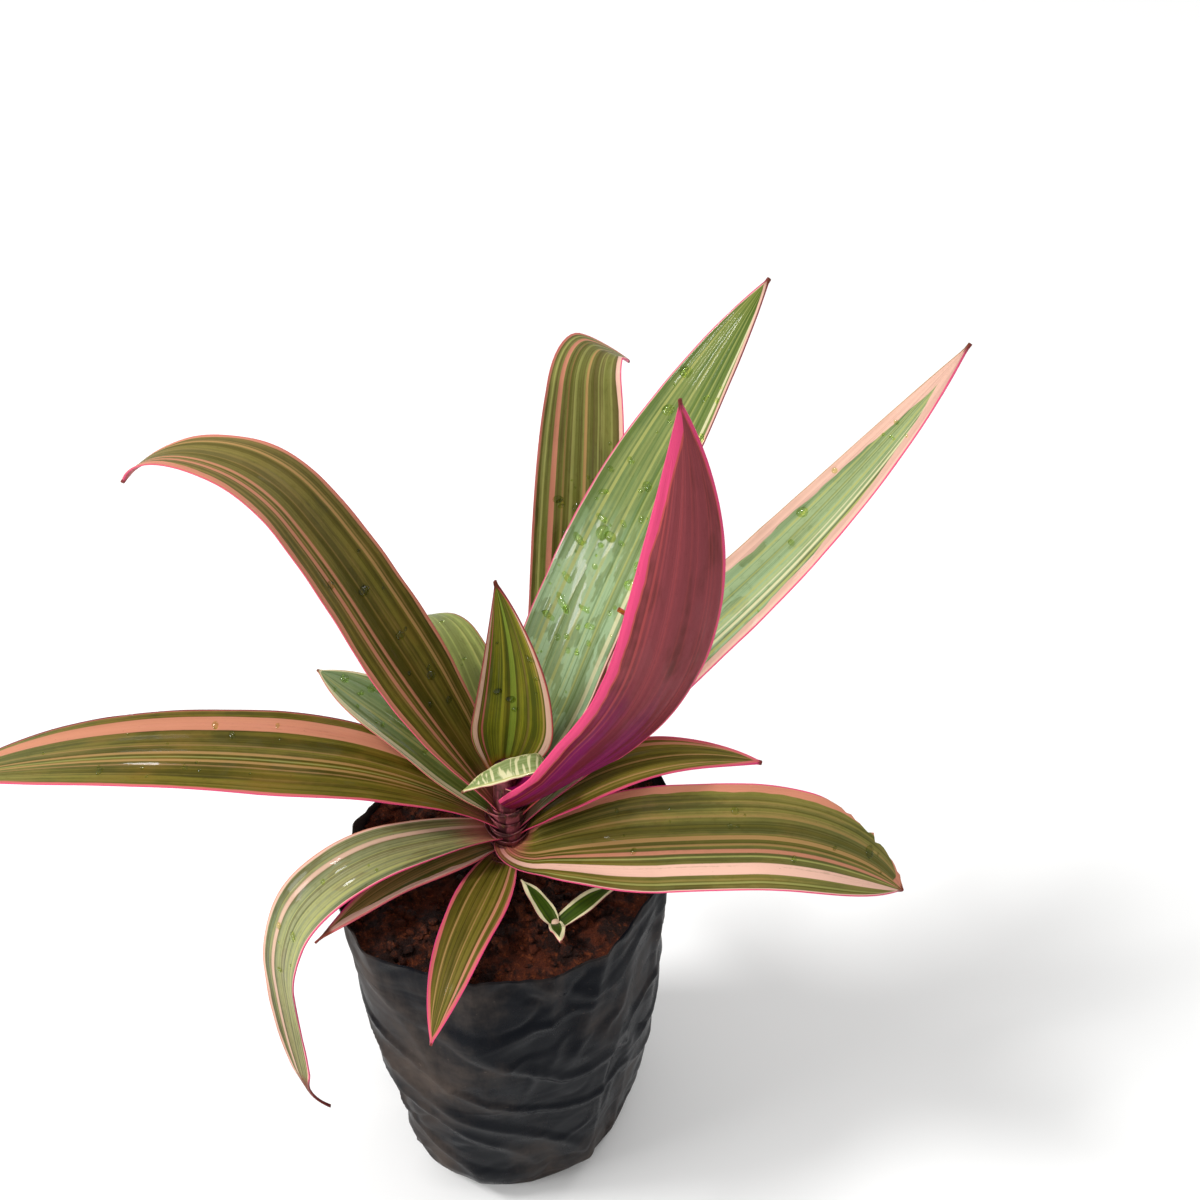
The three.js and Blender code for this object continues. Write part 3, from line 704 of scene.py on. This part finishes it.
def leaf_finish(name, look, colours, leaf, seed):
    """The leaf's colours: greens and fine streaks that run with the veins, its own stripes, the coloured
    margins, the purple underside, the dried tip and the wet sheen."""
    look = {**USUAL_LOOK, **look}
    f = Finish(name)
    split = f.add("ShaderNodeSeparateXYZ", (), {0: f.flow("ShaderNodeUVMap", 0, {"uv_map": "leaf"})})
    flat_s, part = Flow(f, split.outputs[0]) * 2.0 - 1.0, Flow(f, split.outputs[1])
    under, margin = f.attribute("under"), f.attribute("margin")
    if look["turned"]:
        under = 1.0 - under
    run = part * leaf["length"]

    def tone(key):
        return getattr(colours, key)

    def grain(across, along, shift, **settings):
        """Noise with its cells so many millimetres across and along the leaf."""
        return f.noise(f.point(s * (leaf["width"] / 2 / across), run / along, seed + shift), **settings)

    s = flat_s
    s = s + (grain(14, 45, 0, detail=1) - 0.5) * 0.03 + (grain(2, 9, 2) - 0.5) * 0.006
    veins = grain(1.1, 260, 3, roughness=0.6)
    broad = grain(7, 160, 7)
    streak = grain(1.9, 420, 11, roughness=0.55)
    patch = grain(9, 26, 13, detail=3, roughness=0.6)
    mottle = grain(1.6, 3.2, 17, detail=4, roughness=0.65)

    # upper face: green from the darker to the lighter tone, with its tinge, bloom and painted sheen, mottling
    # and streaks
    low_tone, high_tone = map(tone, look["tones"])
    green = f.turn(low_tone, high_tone, broad * 0.4 + veins * 0.4 + patch * 0.2, 0.4, 0.6)
    green = f.turn(green, colours.warm, patch, 0.42, 0.72, look["warm"])
    wet = f.smooth(grain(8, 20, 41, detail=3), 0.6 - look["wet"] * 0.16, 0.63 - look["wet"] * 0.15)
    wet = wet * f.over(part, {0: 1, 0.6: 1, 0.78: 0.15})
    # the bloom colour laid on along the pale run: bloom, and on the tall back leaf a painted sheen of the
    # surroundings
    bloom = f.over(part, look["pale"]) * (0.7 + patch * 0.35 + streak * 0.3) * (1.0 - wet * 0.45)
    green = f.mix(bloom, green, tone(look["bloom"]))
    green = f.turn(green, low_tone, mottle, 0.5, 0.78, 0.3)
    streaks = f.smooth(streak, 0.55, 0.6) * look["streaks"] * f.smooth(veins + patch, 0.7, 1.2)
    green = f.mix(streaks * 0.7, green, tone(look["streak"]))
    green = f.turn(green, low_tone, streak, 0.44, 0.4, 0.45)
    if look["ribs"]:
        green = f.turn(green, colours.cream, grain(9, 1.7, 47, detail=1), 0.5, 0.6, look["ribs"])
    broken = f.smooth(veins * 0.6 + mottle * 0.3 + patch * 0.3, 0.34, 0.56) * 0.5 + 0.5
    lines = sorted((*line, name) for name, group in look["lines"].items() for line in group)
    for first in range(0, len(lines), LINES_PER_RAMP):
        stops = line_stops(lines[first : first + LINES_PER_RAMP], colours)
        ramp = f.add("ShaderNodeValToRGB", {"stops": stops}, {"Fac": s * 0.5 + 0.5})
        green = f.mix(Flow(f, ramp.outputs["Alpha"]) * broken, green, Flow(f, ramp.outputs["Color"]))

    # underside: purple, browner in patches, and crimson and magenta towards the heart
    low = f.turn(colours.purple, colours.maroon, patch * 0.6 + broad * 0.4, 0.46, 0.68)
    low = f.turn(low, colours.coral, veins, 0.48, 0.72, 0.2)
    heart = f.turn(colours.crimson, colours.magenta, broad * 0.5 + patch * 0.3 + veins * 0.2, 0.44, 0.54)
    low = f.turn(heart, low, part + (veins - 0.5) * 0.12 + (broad - 0.5) * 0.1, 0.32, 0.56)
    low = f.turn(low, colours.maroon, mottle, 0.5, 0.8, 0.25)
    if lines:
        low = f.mix(Flow(f, ramp.outputs["Alpha"]) * broken * 0.5, low, Flow(f, ramp.outputs["Color"]))
    colour = f.mix(under, green, low)

    # the margins, each with its own seam and band
    on_left = f.smooth(flat_s, -0.02, 0.02)
    uneven = grain(40, 16, 23) * 0.7 + 0.65
    reach = margin / (uneven * f.over(part, {0: 0.3, 0.3: 1}))
    seam_l, seam_tone_l, band_l, band_tone_l = look["left"]
    seam_r, seam_tone_r, band_r, band_tone_r = look["right"]
    band = 1.0 - f.smooth(reach - (band_r + (band_l - band_r) * on_left), -0.25, 0.05)
    seam = 1.0 - f.smooth(reach - (seam_r + (seam_l - seam_r) * on_left), -0.2, 0.12)
    band_tone = f.mix(on_left, tone(band_tone_r), tone(band_tone_l))
    seam_tone = f.mix(on_left, tone(seam_tone_r), tone(seam_tone_l))
    solid = 0.8 + broken * 0.15
    colour = f.mix(band * solid, colour, f.mix(under, band_tone, colours.coral))
    colour = f.turn(colour, colours.maroon, streak, 0.5, 0.4, band * (1.0 - seam) * 0.2)
    colour = f.mix(seam * solid, colour, f.mix(under, seam_tone, colours.pink))

    # the root is flushed with colour, the tip is dried, and dark specks lie about
    flush = 1.0 - f.smooth(part + (veins - 0.5) * 0.06 + (mottle - 0.5) * 0.03, 0.02, 0.1)
    colour = f.mix(flush * 0.55 * (1.0 - under), colour, tone(look["flush"]))
    tip = 1.0 - look["dried"]
    spent = f.turn(colours.maroon, colours.dried, mottle, 0.4, 0.6)
    ragged = part + (mottle - 0.5) * 0.04 + (veins - 0.5) * 0.03
    colour = f.turn(colour, spent, ragged, tip - look["dried"] * 0.3, tip + 0.004, 0.9)
    colour = f.turn(colour, colours.maroon, grain(1, 1.4, 31, detail=1), 0.76, 0.8, 0.35)

    f.set(
        Base_Color=colour,
        Roughness=0.55 - look["sheen"] * 0.14 + (mottle - 0.5) * 0.2,
        Coat_Weight=wet * (0.1 + look["wet"] * 0.7) * (1.0 - under * 0.7) + look["sheen"] * 0.06,
        Normal=f.bump(veins * 0.6 + streak * 0.3 + mottle * 0.22, 0.00026),
    )
    return f.set(Coat_Roughness=0.07, IOR=1.4, Specular_IOR_Level=0.12)


# ---- Operators ----
class TRADESCANTIA_OT_leaves(bpy.types.Operator):
    """Build the rosette's leaves, one piece for each"""

    bl_idname = "tradescantia.leaves"
    bl_label = "Leaves"

    def execute(self, context):
        sizes = context.scene.tradescantia_leaves
        for name, seed in LEAF_SEEDS.items():
            leaf = complete(LEAVES[name])
            finish = leaf_finish(f"{name} skin", LOOKS[name], sizes, leaf, seed)
            piece = settle(f"{name}_blade", leaf_form(leaf, sizes, seed), finish)
            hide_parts(name)
        return {"FINISHED"}


class TRADESCANTIA_OT_shoot(bpy.types.Operator):
    """Build the offset shoot: a short stalk with its leaves, as one piece"""

    bl_idname = "tradescantia.shoot"
    bl_label = "Offset Shoot"

    def execute(self, context):
        sizes = context.scene.tradescantia_leaves
        root = (20, -38)
        form = bmesh.new()
        for seed, row in enumerate(SHOOT_LEAVES, 100):
            leaf = complete({**row, "root": root, "tip_width": 0.8})
            join(form, leaf_form(leaf, sizes, seed, row_step=1.2, columns=12))
        stalk = bmesh.ops.create_cone(
            form, cap_ends=True, segments=20, radius1=2.4 * MM, radius2=1.6 * MM, depth=15 * MM,
            matrix=Matrix.Translation([c * MM for c in (*root, 195.5)]),
        )
        own_map = form.loops.layers.uv["leaf"]
        for vert in stalk["verts"]:
            for loop in vert.link_loops:
                loop[own_map].uv = (0.5, 0.2)
        finish = leaf_finish("shoot skin", SHOOT_LOOK, sizes, SHOOT_LEAVES[0], 60.0)
        piece = settle("offset_shoot_leaves", form, finish)
        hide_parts("offset_shoot")
        return {"FINISHED"}


BAG_SHAPE = dict(
    oval=0.075, crease=0.035, sharpness=22, turn=math.radians(36), bulge=2, rim_wave=(3.5, 1.6),
    rim_waves=(2, 5), rim_phase=1, folds=0.012, fold_count=7, rim_fade=4,
)
BAG_STEPS = 280  # steps round the bag and round the soil in it


def bag_radius(sizes, height):
    """The bag's mean outside radius at a height, in metres."""
    part = height / sizes.rim_height
    swell = BAG_SHAPE["bulge"] * MM * math.sin(math.pi * min(part, 1))
    return lerp(sizes.foot_radius, sizes.rim_radius, part) + swell


def bag_outline(angle, part):
    """How the bag's section departs from a circle, as a factor on the radius."""
    from_long = angle - BAG_SHAPE["turn"]
    along = math.cos(from_long) / (1 + BAG_SHAPE["oval"])
    across = math.sin(from_long) / (1 - BAG_SHAPE["oval"])
    crease = BAG_SHAPE["crease"] * abs(math.cos(from_long)) ** BAG_SHAPE["sharpness"]
    fold = BAG_SHAPE["folds"] * math.sin(BAG_SHAPE["fold_count"] * from_long) * part
    return (1 + crease + fold) / math.hypot(along, across)


def rim_wave(angle):
    """How far the rim rises or dips at an angle, in metres."""
    from_long = angle - BAG_SHAPE["turn"]
    (high, low), (few, many) = BAG_SHAPE["rim_wave"], BAG_SHAPE["rim_waves"]
    return (high * math.cos(few * from_long) + low * math.sin(many * from_long + BAG_SHAPE["rim_phase"])) * MM


def ridge(x, y, z, sharp):
    """Sharp-backed folds of a film: 0 in the flat parts and up to 1 on the backs of the folds."""
    return max(0.0, 1 - abs(noise.noise(Vector((x, y, z)))) * sharp)


def film_push(sizes, angle, height):
    """How far the film stands out from its mean shape at a place on the wall, in metres: broad dents, upright
    folds that run up into the rim, and slanting creases where it has slumped."""
    x, y, z = 60 * math.cos(angle), 60 * math.sin(angle), height / MM
    part = height / sizes.rim_height
    dents = noise.noise(Vector((x * 0.032, y * 0.032, z * 0.009)))
    upright = ridge(x * 0.042, y * 0.042, z * 0.008, 3.2) * (0.45 + 0.55 * smoothstep(part, 0.35, 1))
    slant = ridge(x * 0.02 + z * 0.022, y * 0.02 - z * 0.015, z * 0.008 + 7, 5.6)
    slant *= 1 - 0.5 * smoothstep(part, 0.7, 1)
    small = ridge(x * 0.06 - z * 0.03, y * 0.06 + z * 0.04, 3, 3.6) * noise.noise(Vector((x, y, z)) * 0.022)
    push = sizes.dents * dents + sizes.folds * (upright - 0.25) + sizes.creases * (slant - 0.2)
    return (push + small * 1.6 * MM) * smoothstep(part, 0.01, 0.09)


class TRADESCANTIA_OT_bag(bpy.types.Operator):
    """Build the film grow bag with its folds, creases and wavy rim"""

    bl_idname = "tradescantia.bag"
    bl_label = "Grow Bag"

    def execute(self, context):
        sizes = context.scene.tradescantia_bag
        form = spun(self.profile(sizes), BAG_STEPS, lambda place: self.crumpled(place, sizes))
        bmesh.ops.solidify(form, geom=form.faces[:], thickness=sizes.film)
        face_outwards(form)
        piece = settle("grow_bag_film", form, self.finish(sizes))
        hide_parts("grow_bag")
        return {"FINISHED"}

    def profile(self, sizes):
        """The bottom from its middle outwards, the rounded edge, and the wall up to the rim."""
        edge, rows = sizes.edge_radius, 128
        flat = sizes.foot_radius - edge
        points = [(flat * i / 10, 0.0) for i in range(10)]
        for i in range(9):
            turn = i / 8 * math.pi / 2
            points.append((flat + edge * math.sin(turn), edge - edge * math.cos(turn)))
        heights = [lerp(edge, sizes.rim_height, i / rows) for i in range(1, rows + 1)]
        return points + [(bag_radius(sizes, height), height) for height in heights]

    def crumpled(self, place, sizes):
        angle = math.atan2(place.y, place.x)
        part = place.z / sizes.rim_height
        out = Vector((math.cos(angle), math.sin(angle), 0))
        moved = Vector((place.x, place.y, 0)) * bag_outline(angle, part)
        moved += out * film_push(sizes, angle, place.z)
        ragged = noise.fractal(Vector((angle * 9, 0, 2)), 0.8, 2.2, 3) * 1.1 * MM
        lift = (rim_wave(angle) + ragged) * part ** BAG_SHAPE["rim_fade"]
        curl = 0.8 * MM * noise.noise(Vector((angle * 5, 3, 8))) * smoothstep(part, 0.95, 1)
        return Vector((moved.x, moved.y, place.z + lift)) + out * curl

    def finish(self, sizes):
        f = Finish("black film")
        tall = f.stretched((1.0, 1.0, 0.3))
        slanted = f.stretched((1.0, 1.0, 2.4), (0.5, 0.5, 0.2))
        cloud = f.noise(f.place(), 16, 5, 0.62)
        smear = f.noise(tall, 60, 5, 0.7)
        fine = f.noise(f.place(), 420, 3, 0.6)
        # the left side, towards the lights, gets more of the grey: partly dust, partly a painted sheen of the
        # light from the left
        side = f.smooth(f.flow("ShaderNodeSeparateXYZ", 0, (), {0: f.place()}), 0.03, -0.055)
        dust = f.smooth(cloud * 0.9 + smear * 0.32 + side * 0.12, 0.6, 0.94)
        colour = f.mix(dust * 0.42, sizes.colour, sizes.dust)
        colour = f.turn(colour, sizes.dust, fine, 0.66, 0.74, f.smooth(cloud, 0.45, 0.6) * 0.35)
        crumple = f.noise(slanted, 20, 2, 0.5, 0.6) + f.noise(tall, 30, 3, 0.5, 0.5) * 0.7
        f.set(
            Base_Color=colour,
            Roughness=0.22 + dust * 0.35 + smear * 0.1,
            Coat_Weight=0.06 - dust * 0.05,
            Normal=f.bump(crumple + smear * 0.03 + fine * 0.01, 0.0016, 0.6),
        )
        return f.set(Specular_IOR_Level=0.03, IOR=1.3, Coat_Roughness=0.12)


class TRADESCANTIA_OT_soil(bpy.types.Operator):
    """Build the soil with its lumps and crumbs"""

    bl_idname = "tradescantia.soil"
    bl_label = "Soil"

    def execute(self, context):
        sizes = context.scene.tradescantia_soil
        bag = context.scene.tradescantia_bag
        form = spun(self.profile(sizes, bag), BAG_STEPS, lambda place: self.shaped(place, sizes, bag))
        self.strew(form, sizes, bag)
        piece = settle("soil_heap", form, self.finish(sizes))
        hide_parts("soil")
        return {"FINISHED"}

    def profile(self, sizes, bag):
        """The surface reaches the film all round, and the wall below it stays clear of the film's dents."""
        inset = 4.5 * MM
        rim = bag_radius(bag, sizes.level) - bag.film
        foot = bag.foot_radius - bag.edge_radius
        points = [(rim * i / 80, sizes.level) for i in range(81)]
        heights = [z * MM for z in (193, 180, 165, 140, 110, 80, 50, 25, 13)]
        points += [(bag_radius(bag, height) - inset, height) for height in heights]
        return [*points, (foot + 4 * MM, 5 * MM), (foot, 2 * MM), (0.0, 2 * MM)]

    def ground(self, x, y, sizes, rim):
        """The height of the soil's surface at a place, in metres."""
        reach = min(math.hypot(x, y) / rim, 1.0)
        at = Vector((x, y, 0)) / MM
        lumps = noise.fractal(at * 0.075, 0.9, 2.1, 4)
        grit = noise.fractal(at * 0.4 + Vector((9, 4, 2)), 1.0, 2.0, 3)
        ease = 1 - smoothstep(reach, 0.9, 1.0) * 0.5
        return sizes.level + (1 - reach) * sizes.mound + (sizes.lumps * lumps + sizes.grit * grit) * ease

    def shaped(self, place, sizes, bag):
        rim = bag_radius(bag, sizes.level) - bag.film
        angle = math.atan2(place.y, place.x)
        factor = bag_outline(angle, place.z / bag.rim_height)
        if place.z < sizes.level - 1e-6:
            return Vector((place.x * factor, place.y * factor, place.z))
        # the surface is stretched out to the film wherever that stands
        reach = math.hypot(place.x, place.y) / rim
        stretch = factor + film_push(bag, angle, sizes.level) / rim * smoothstep(reach, 0.5, 1)
        return Vector((place.x * stretch, place.y * stretch, self.ground(place.x, place.y, sizes, rim)))

    def strew(self, form, sizes, bag):
        """Loose crumbs, half sunk in the surface."""
        draw = random.Random(7)
        rim = bag_radius(bag, sizes.level) - 5 * MM
        for _ in range(sizes.crumbs):
            angle, reach = draw.uniform(0, WHOLE_TURN), rim * math.sqrt(draw.uniform(0.015, 1))
            factor = bag_outline(angle, 1) * 0.985
            x, y = reach * math.cos(angle) * factor, reach * math.sin(angle) * factor
            size = (0.5 + 2.9 * draw.random() ** 3) * MM
            middle = Vector((x, y, self.ground(x, y, sizes, rim) + size * 0.3))
            turn = Matrix.Rotation(
                draw.uniform(0, 6), 4, Vector((draw.random(), draw.random(), 1)).normalized()
            )
            stretch = [draw.uniform(*span) for span in ((0.7, 1.3), (0.6, 1.1), (0.5, 0.9))]
            spot = Matrix.Translation(middle) @ turn @ Matrix.Diagonal((*stretch, 1))
            crumb = bmesh.new()
            bmesh.ops.create_icosphere(crumb, subdivisions=2 if size > MM else 1, radius=size, matrix=spot)
            for vert in crumb.verts:
                at = vert.co / MM
                vert.co += (vert.co - middle) * (0.5 * noise.noise(at * 0.9) + 0.25 * noise.noise(at * 2.1))
            join(form, crumb)

    def finish(self, sizes):
        f = Finish("moist soil")
        coarse, lumps, fine, grain = (
            f.noise(f.place(), *rest) for rest in ((70, 4, 0.6), (260, 3, 0.6), (800, 4, 0.7), (2200, 2, 0.6))
        )
        # dark patches are wet soil and painted shade, the lighter grains dry crumbs and painted light, laid
        # at random
        colour = f.turn(sizes.dark, sizes.colour, coarse + (lumps - 0.5) * 0.7, 0.38, 0.6)
        colour = f.turn(colour, sizes.light, fine * 0.6 + lumps * 0.4, 0.52, 0.66, 0.6)
        colour = f.turn(colour, sizes.light, grain, 0.66, 0.72, 0.35)
        f.set(
            Base_Color=colour, Roughness=0.92 - f.smooth(coarse, 0.6, 0.4) * 0.35,
            Normal=f.bump(lumps * 0.8 + fine + grain * 0.4, 0.0016),
        )
        return f.set(Specular_IOR_Level=0.25)


class TRADESCANTIA_OT_stem(bpy.types.Operator):
    """Build the short stem, with the sheaths of the leaves wrapped round it"""

    bl_idname = "tradescantia.stem"
    bl_label = "Stem"

    def execute(self, context):
        sizes = context.scene.tradescantia_stem
        form = spun(self.profile(), 64)
        sheathed = [name for name in LEAVES if name not in ("leaf_heart_curled", "leaf_young_centre")]
        for seed, name in enumerate(sheathed):
            join(form, self.sheath(complete(LEAVES[name]), sizes, seed))
        piece = settle("stem_skin", form, self.finish(sizes))
        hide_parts("stem")
        return {"FINISHED"}

    def profile(self):
        """The stem from its foot to its rounded tip, with fine scars round it."""
        points = [(0.0, STEM["foot"])]
        rows = 110
        for i in range(rows + 1):
            height = lerp(STEM["foot"], STEM["top"], i / rows)
            scar = 0.22 * max(0.0, math.sin(height * 1.3)) ** 6
            points.append((stem_radius(height) - scar, height))
        for i in range(1, 8):
            turn = i / 8 * math.pi / 2
            points.append((STEM["top_radius"] * math.cos(turn), STEM["top"] + 3.6 * math.sin(turn)))
        points.append((0.0, STEM["top"] + 3.6))
        return [(radius * MM, height * MM) for radius, height in points]

    def sheath(self, leaf, sizes, seed):
        """One leaf's sheath: a thin cup round the stem, highest and widest where the leaf leaves it."""
        wall, rows = 0.5 * MM, 10
        side = angle_at(leaf["side"], 0)
        foot = leaf["height"] * MM - sizes.sheath

        def section(part):
            """The sheath's outer radius and height at a part of its length."""
            height = foot + sizes.sheath * part
            return stem_radius(height / MM) * MM + 0.25 * MM + sizes.flare * part * part, height

        def flared(place):
            angle = math.atan2(place.y, place.x)
            part = (place.z - foot) / sizes.sheath
            toward = 0.5 + 0.5 * math.cos(angle - side)
            ripple = noise.noise(Vector((angle * 2.2, part * 1.5, seed * 3.1)))
            rise = part * (5.0 * toward ** 2 - 2.5 + 1.2 * ripple) * MM
            spread = part * part * (1.6 * toward + 0.8 * ripple) * MM
            return place + Vector((math.cos(angle) * spread, math.sin(angle) * spread, rise))

        outer = [section(i / rows) for i in range(rows + 1)]
        inner = [(radius - wall, height) for radius, height in reversed(outer)]
        return spun([*outer, *inner, outer[0]], 72, flared)

    def finish(self, sizes):
        f = Finish("sheaths and stem")
        tall = f.stretched((1.0, 1.0, 0.12))
        fibres = f.noise(tall, 1100, 3, 0.6)
        bands = f.noise(tall, 260, 2, 0.5)
        patches = f.noise(f.place(), 110, 3)
        colour = f.turn(sizes.colour, [c * 0.4 for c in sizes.colour], patches, 0.38, 0.62)
        colour = f.turn(colour, sizes.veins, bands, 0.5, 0.62, 0.6)
        colour = f.turn(colour, sizes.green, fibres, 0.56, 0.66, 0.4)
        f.set(Base_Color=colour, Roughness=0.45 + patches * 0.2, Normal=f.bump(fibres + bands * 0.5, 0.0005))
        return f.set(Specular_IOR_Level=0.35)


# Where the water lies: the leaf, how many drops, and between which parts along it and across it they fall.
WET_PLACES = (
    ("leaf_back_tall", 46, (0.22, 0.8), (-0.85, 0.9)),
    ("leaf_left_small", 12, (0.3, 0.95), (-0.7, 0.7)),
    ("leaf_left_arching", 12, (0.2, 0.7), (-0.7, 0.7)),
    ("leaf_right_low", 14, (0.3, 0.95), (-0.7, 0.8)),
    ("leaf_right_pale", 14, (0.3, 0.9), (-0.8, 0.8)),
    ("leaf_left_long", 18, (0.35, 0.95), (-0.8, 0.8)),
    ("leaf_back_folded", 14, (0.3, 0.75), (-0.7, 0.7)),
    ("leaf_back_left_low", 6, (0.3, 0.8), (-0.6, 0.6)),
    ("leaf_young_centre", 8, (0.3, 0.8), (-0.7, 0.7)),
    ("leaf_left_drooping", 8, (0.2, 0.6), (-0.6, 0.6)),
)
# The long drops that have run together on the wettest leaf: the part along it, the place across it, length
# over width, and size.
RUNS = (
    (0.36, 0.5, 3.6, 1.7), (0.325, 0.62, 2.6, 1.4), (0.4, 0.58, 2.2, 1.4), (0.37, 0, 3, 1.2),
    (0.35, -0.25, 2.2, 1.3), (0.47, 0.7, 2, 1.7), (0.5, 0.34, 1, 3), (0.52, 0.5, 2.6, 1.3),
    (0.53, 0.02, 1.8, 1.2), (0.56, 0.72, 2, 1.2), (0.5, -0.14, 1.8, 1.1), (0.6, 0.82, 1.6, 1.1),
    (0.3, 0.3, 1.1, 1.5), (0.31, 0.12, 1.1, 1.3), (0.29, 0, 1.1, 1.2), (0.3, -0.2, 1, 1),
)


class TRADESCANTIA_OT_drops(bpy.types.Operator):
    """Lay water drops on the leaves"""

    bl_idname = "tradescantia.drops"
    bl_label = "Water Drops"

    def execute(self, context):
        sizes = context.scene.tradescantia_drops
        leaves = context.scene.tradescantia_leaves
        draw = random.Random(11)
        form = bmesh.new()
        wet_leaves = {name: complete(LEAVES[name]) for name, *_ in WET_PLACES}
        midribs = {name: follow_midrib(leaf) for name, leaf in wet_leaves.items()}
        step = 0.004
        for name, part, s, long, size in self.spots(sizes, draw):
            here, ahead, beside = (
                on_leaf(wet_leaves[name], midribs[name], part + p, s + q, 1, leaves, LEAF_SEEDS[name])
                for p, q in ((0, 0), (step, 0), (0, step * 4))
            )
            seed = Vector((part * 90, s * 70, 0))
            join(form, self.drop(here, ahead - here, beside - here, size, long, seed, draw))
        piece = settle("water_drops", form, self.finish(sizes))
        piece.visible_shadow = False  # the light goes on through clear water
        return {"FINISHED"}

    def spots(self, sizes, draw):
        """Each drop's leaf, part along it, place across it, length over width, and radius."""
        for name, count, along, across in WET_PLACES:
            for _ in range(count):
                size = lerp(sizes.smallest, sizes.largest, draw.random() ** 2.4)
                yield name, draw.uniform(*along), draw.uniform(*across), draw.uniform(0.9, 1.5), size
        for part, s, long, size in RUNS:
            yield "leaf_back_tall", part, s, long, size * MM

    def drop(self, here, ahead, beside, size, long, seed, draw):
        """One drop: a low dome on the upper face, longer across the leaf than along it."""
        along, across = ahead.normalized(), beside.normalized()
        up = along.cross(across).normalized()
        turn = Matrix.Rotation(draw.uniform(-0.5, 0.5), 4, "Z")
        axes = Matrix((across, -along, up)).transposed().to_4x4()
        shape = Matrix.Diagonal((long, 1.0, draw.uniform(0.5, 0.66), 1))
        spot = Matrix.Translation(here - up * size * 0.02) @ axes @ turn @ shape
        dome = bmesh.new()
        bmesh.ops.create_icosphere(dome, subdivisions=3, radius=size, matrix=spot)
        for vert in dome.verts:
            off = vert.co - here
            vert.co -= up * min(0.0, off.dot(up)) * 0.85  # the underside lies flat, just inside the leaf
            bend = noise.noise(off / size * 0.7 + seed)
            vert.co += off * 0.25 * bend + along * size * (long - 1) * 0.3 * bend
        return dome

    def finish(self, sizes):
        f = Finish("water")
        f.set(Normal=f.bump(f.noise(f.place(), 260, 1), 0.0002))
        # the tint darkens the leaf seen through the water: painted shade, and the wetted leaf's deeper green
        return f.set(
            Base_Color=sizes.tint, Roughness=0.03, IOR=1.33, Transmission_Weight=1.0, Specular_IOR_Level=1.0
        )


# Each lamp's name, place, the point it shines at and its size, in metres.
LAMPS = (
    ("key", (-3.2, -0.3, 5.0), (0, 0, 0.25), 1.2),
    ("fill", (2.8, 2.8, 4.6), (0, 0, 0.2), 2.8),
    ("low", (-1.5, -0.5, 0.75), (0, 0, 0.3), 0.7),
)


class TRADESCANTIA_OT_stage(bpy.types.Operator):
    """Make the pale floor, the soft studio lights and the camera"""

    bl_idname = "tradescantia.stage"
    bl_label = "Stage"

    def execute(self, context):
        look = context.scene.tradescantia_stage
        form = bmesh.new()
        bmesh.ops.create_grid(form, x_segments=8, y_segments=8, size=6.0)
        finish = Finish("pale floor").set(Base_Color=look.floor, Roughness=0.8, Specular_IOR_Level=0.2)
        place_object("floor", form, finish)
        self.lights(context.scene, look)
        self.camera(context.scene)
        context.scene.view_settings.view_transform = "Standard"
        return {"FINISHED"}

    def lights(self, scene, look):
        world = bpy.data.worlds.new("studio")
        world.use_nodes = True
        back = world.node_tree.nodes["Background"]
        back.inputs["Color"].default_value = (1.0, 1.0, 1.0, 1.0)
        back.inputs["Strength"].default_value = look.sky
        scene.world = world
        for name, spot, target, size in LAMPS:
            lamp = bpy.data.lights.new(name, "AREA")
            lamp.shape, lamp.size, lamp.energy = "DISK", size, getattr(look, name)
            holder = bpy.data.objects.new(name, lamp)
            holder.location = spot
            holder.rotation_euler = (Vector(target) - Vector(spot)).to_track_quat("-Z", "Y").to_euler()
            scene.collection.objects.link(holder)

    def camera(self, scene):
        lens = bpy.data.cameras.new("camera")
        lens.lens, lens.sensor_width = 37.5, 36.0
        lens.clip_start, lens.clip_end = 0.01, 50.0
        holder = bpy.data.objects.new("camera", lens)
        holder.location = (0.0377, -0.3366, 0.6209)
        holder.rotation_euler = (math.radians(50), 0, 0)
        scene.collection.objects.link(holder)
        scene.camera = holder


class TRADESCANTIA_PT_panel(bpy.types.Panel):
    """Buttons for the pieces and their sizes and colours"""

    bl_idname = "TRADESCANTIA_PT_panel"
    bl_label = "Potted Tradescantia"
    bl_space_type = "VIEW_3D"
    bl_region_type = "UI"
    bl_category = "Tradescantia"

    def draw(self, context):
        for operator in OPERATORS:
            self.layout.operator(operator.bl_idname)
        for name, group in GROUPS.items():
            box = self.layout.box()
            box.label(text=group.__doc__)
            for key in group.__annotations__:
                box.prop(getattr(context.scene, name), key)


OPERATORS = (
    TRADESCANTIA_OT_stage,
    TRADESCANTIA_OT_bag,
    TRADESCANTIA_OT_soil,
    TRADESCANTIA_OT_stem,
    TRADESCANTIA_OT_leaves,
    TRADESCANTIA_OT_shoot,
    TRADESCANTIA_OT_drops,
)


def register():
    for cls in (*GROUPS.values(), *OPERATORS, TRADESCANTIA_PT_panel):
        bpy.utils.register_class(cls)
    for name, group in GROUPS.items():
        setattr(bpy.types.Scene, name, PointerProperty(type=group))


def unregister():
    for name in GROUPS:
        delattr(bpy.types.Scene, name)
    for cls in reversed((*GROUPS.values(), *OPERATORS, TRADESCANTIA_PT_panel)):
        bpy.utils.unregister_class(cls)


def main():
    register()
    for operator in OPERATORS:
        group, name = operator.bl_idname.split(".")
        getattr(getattr(bpy.ops, group), name)()


if __name__ == "__main__":
    main()
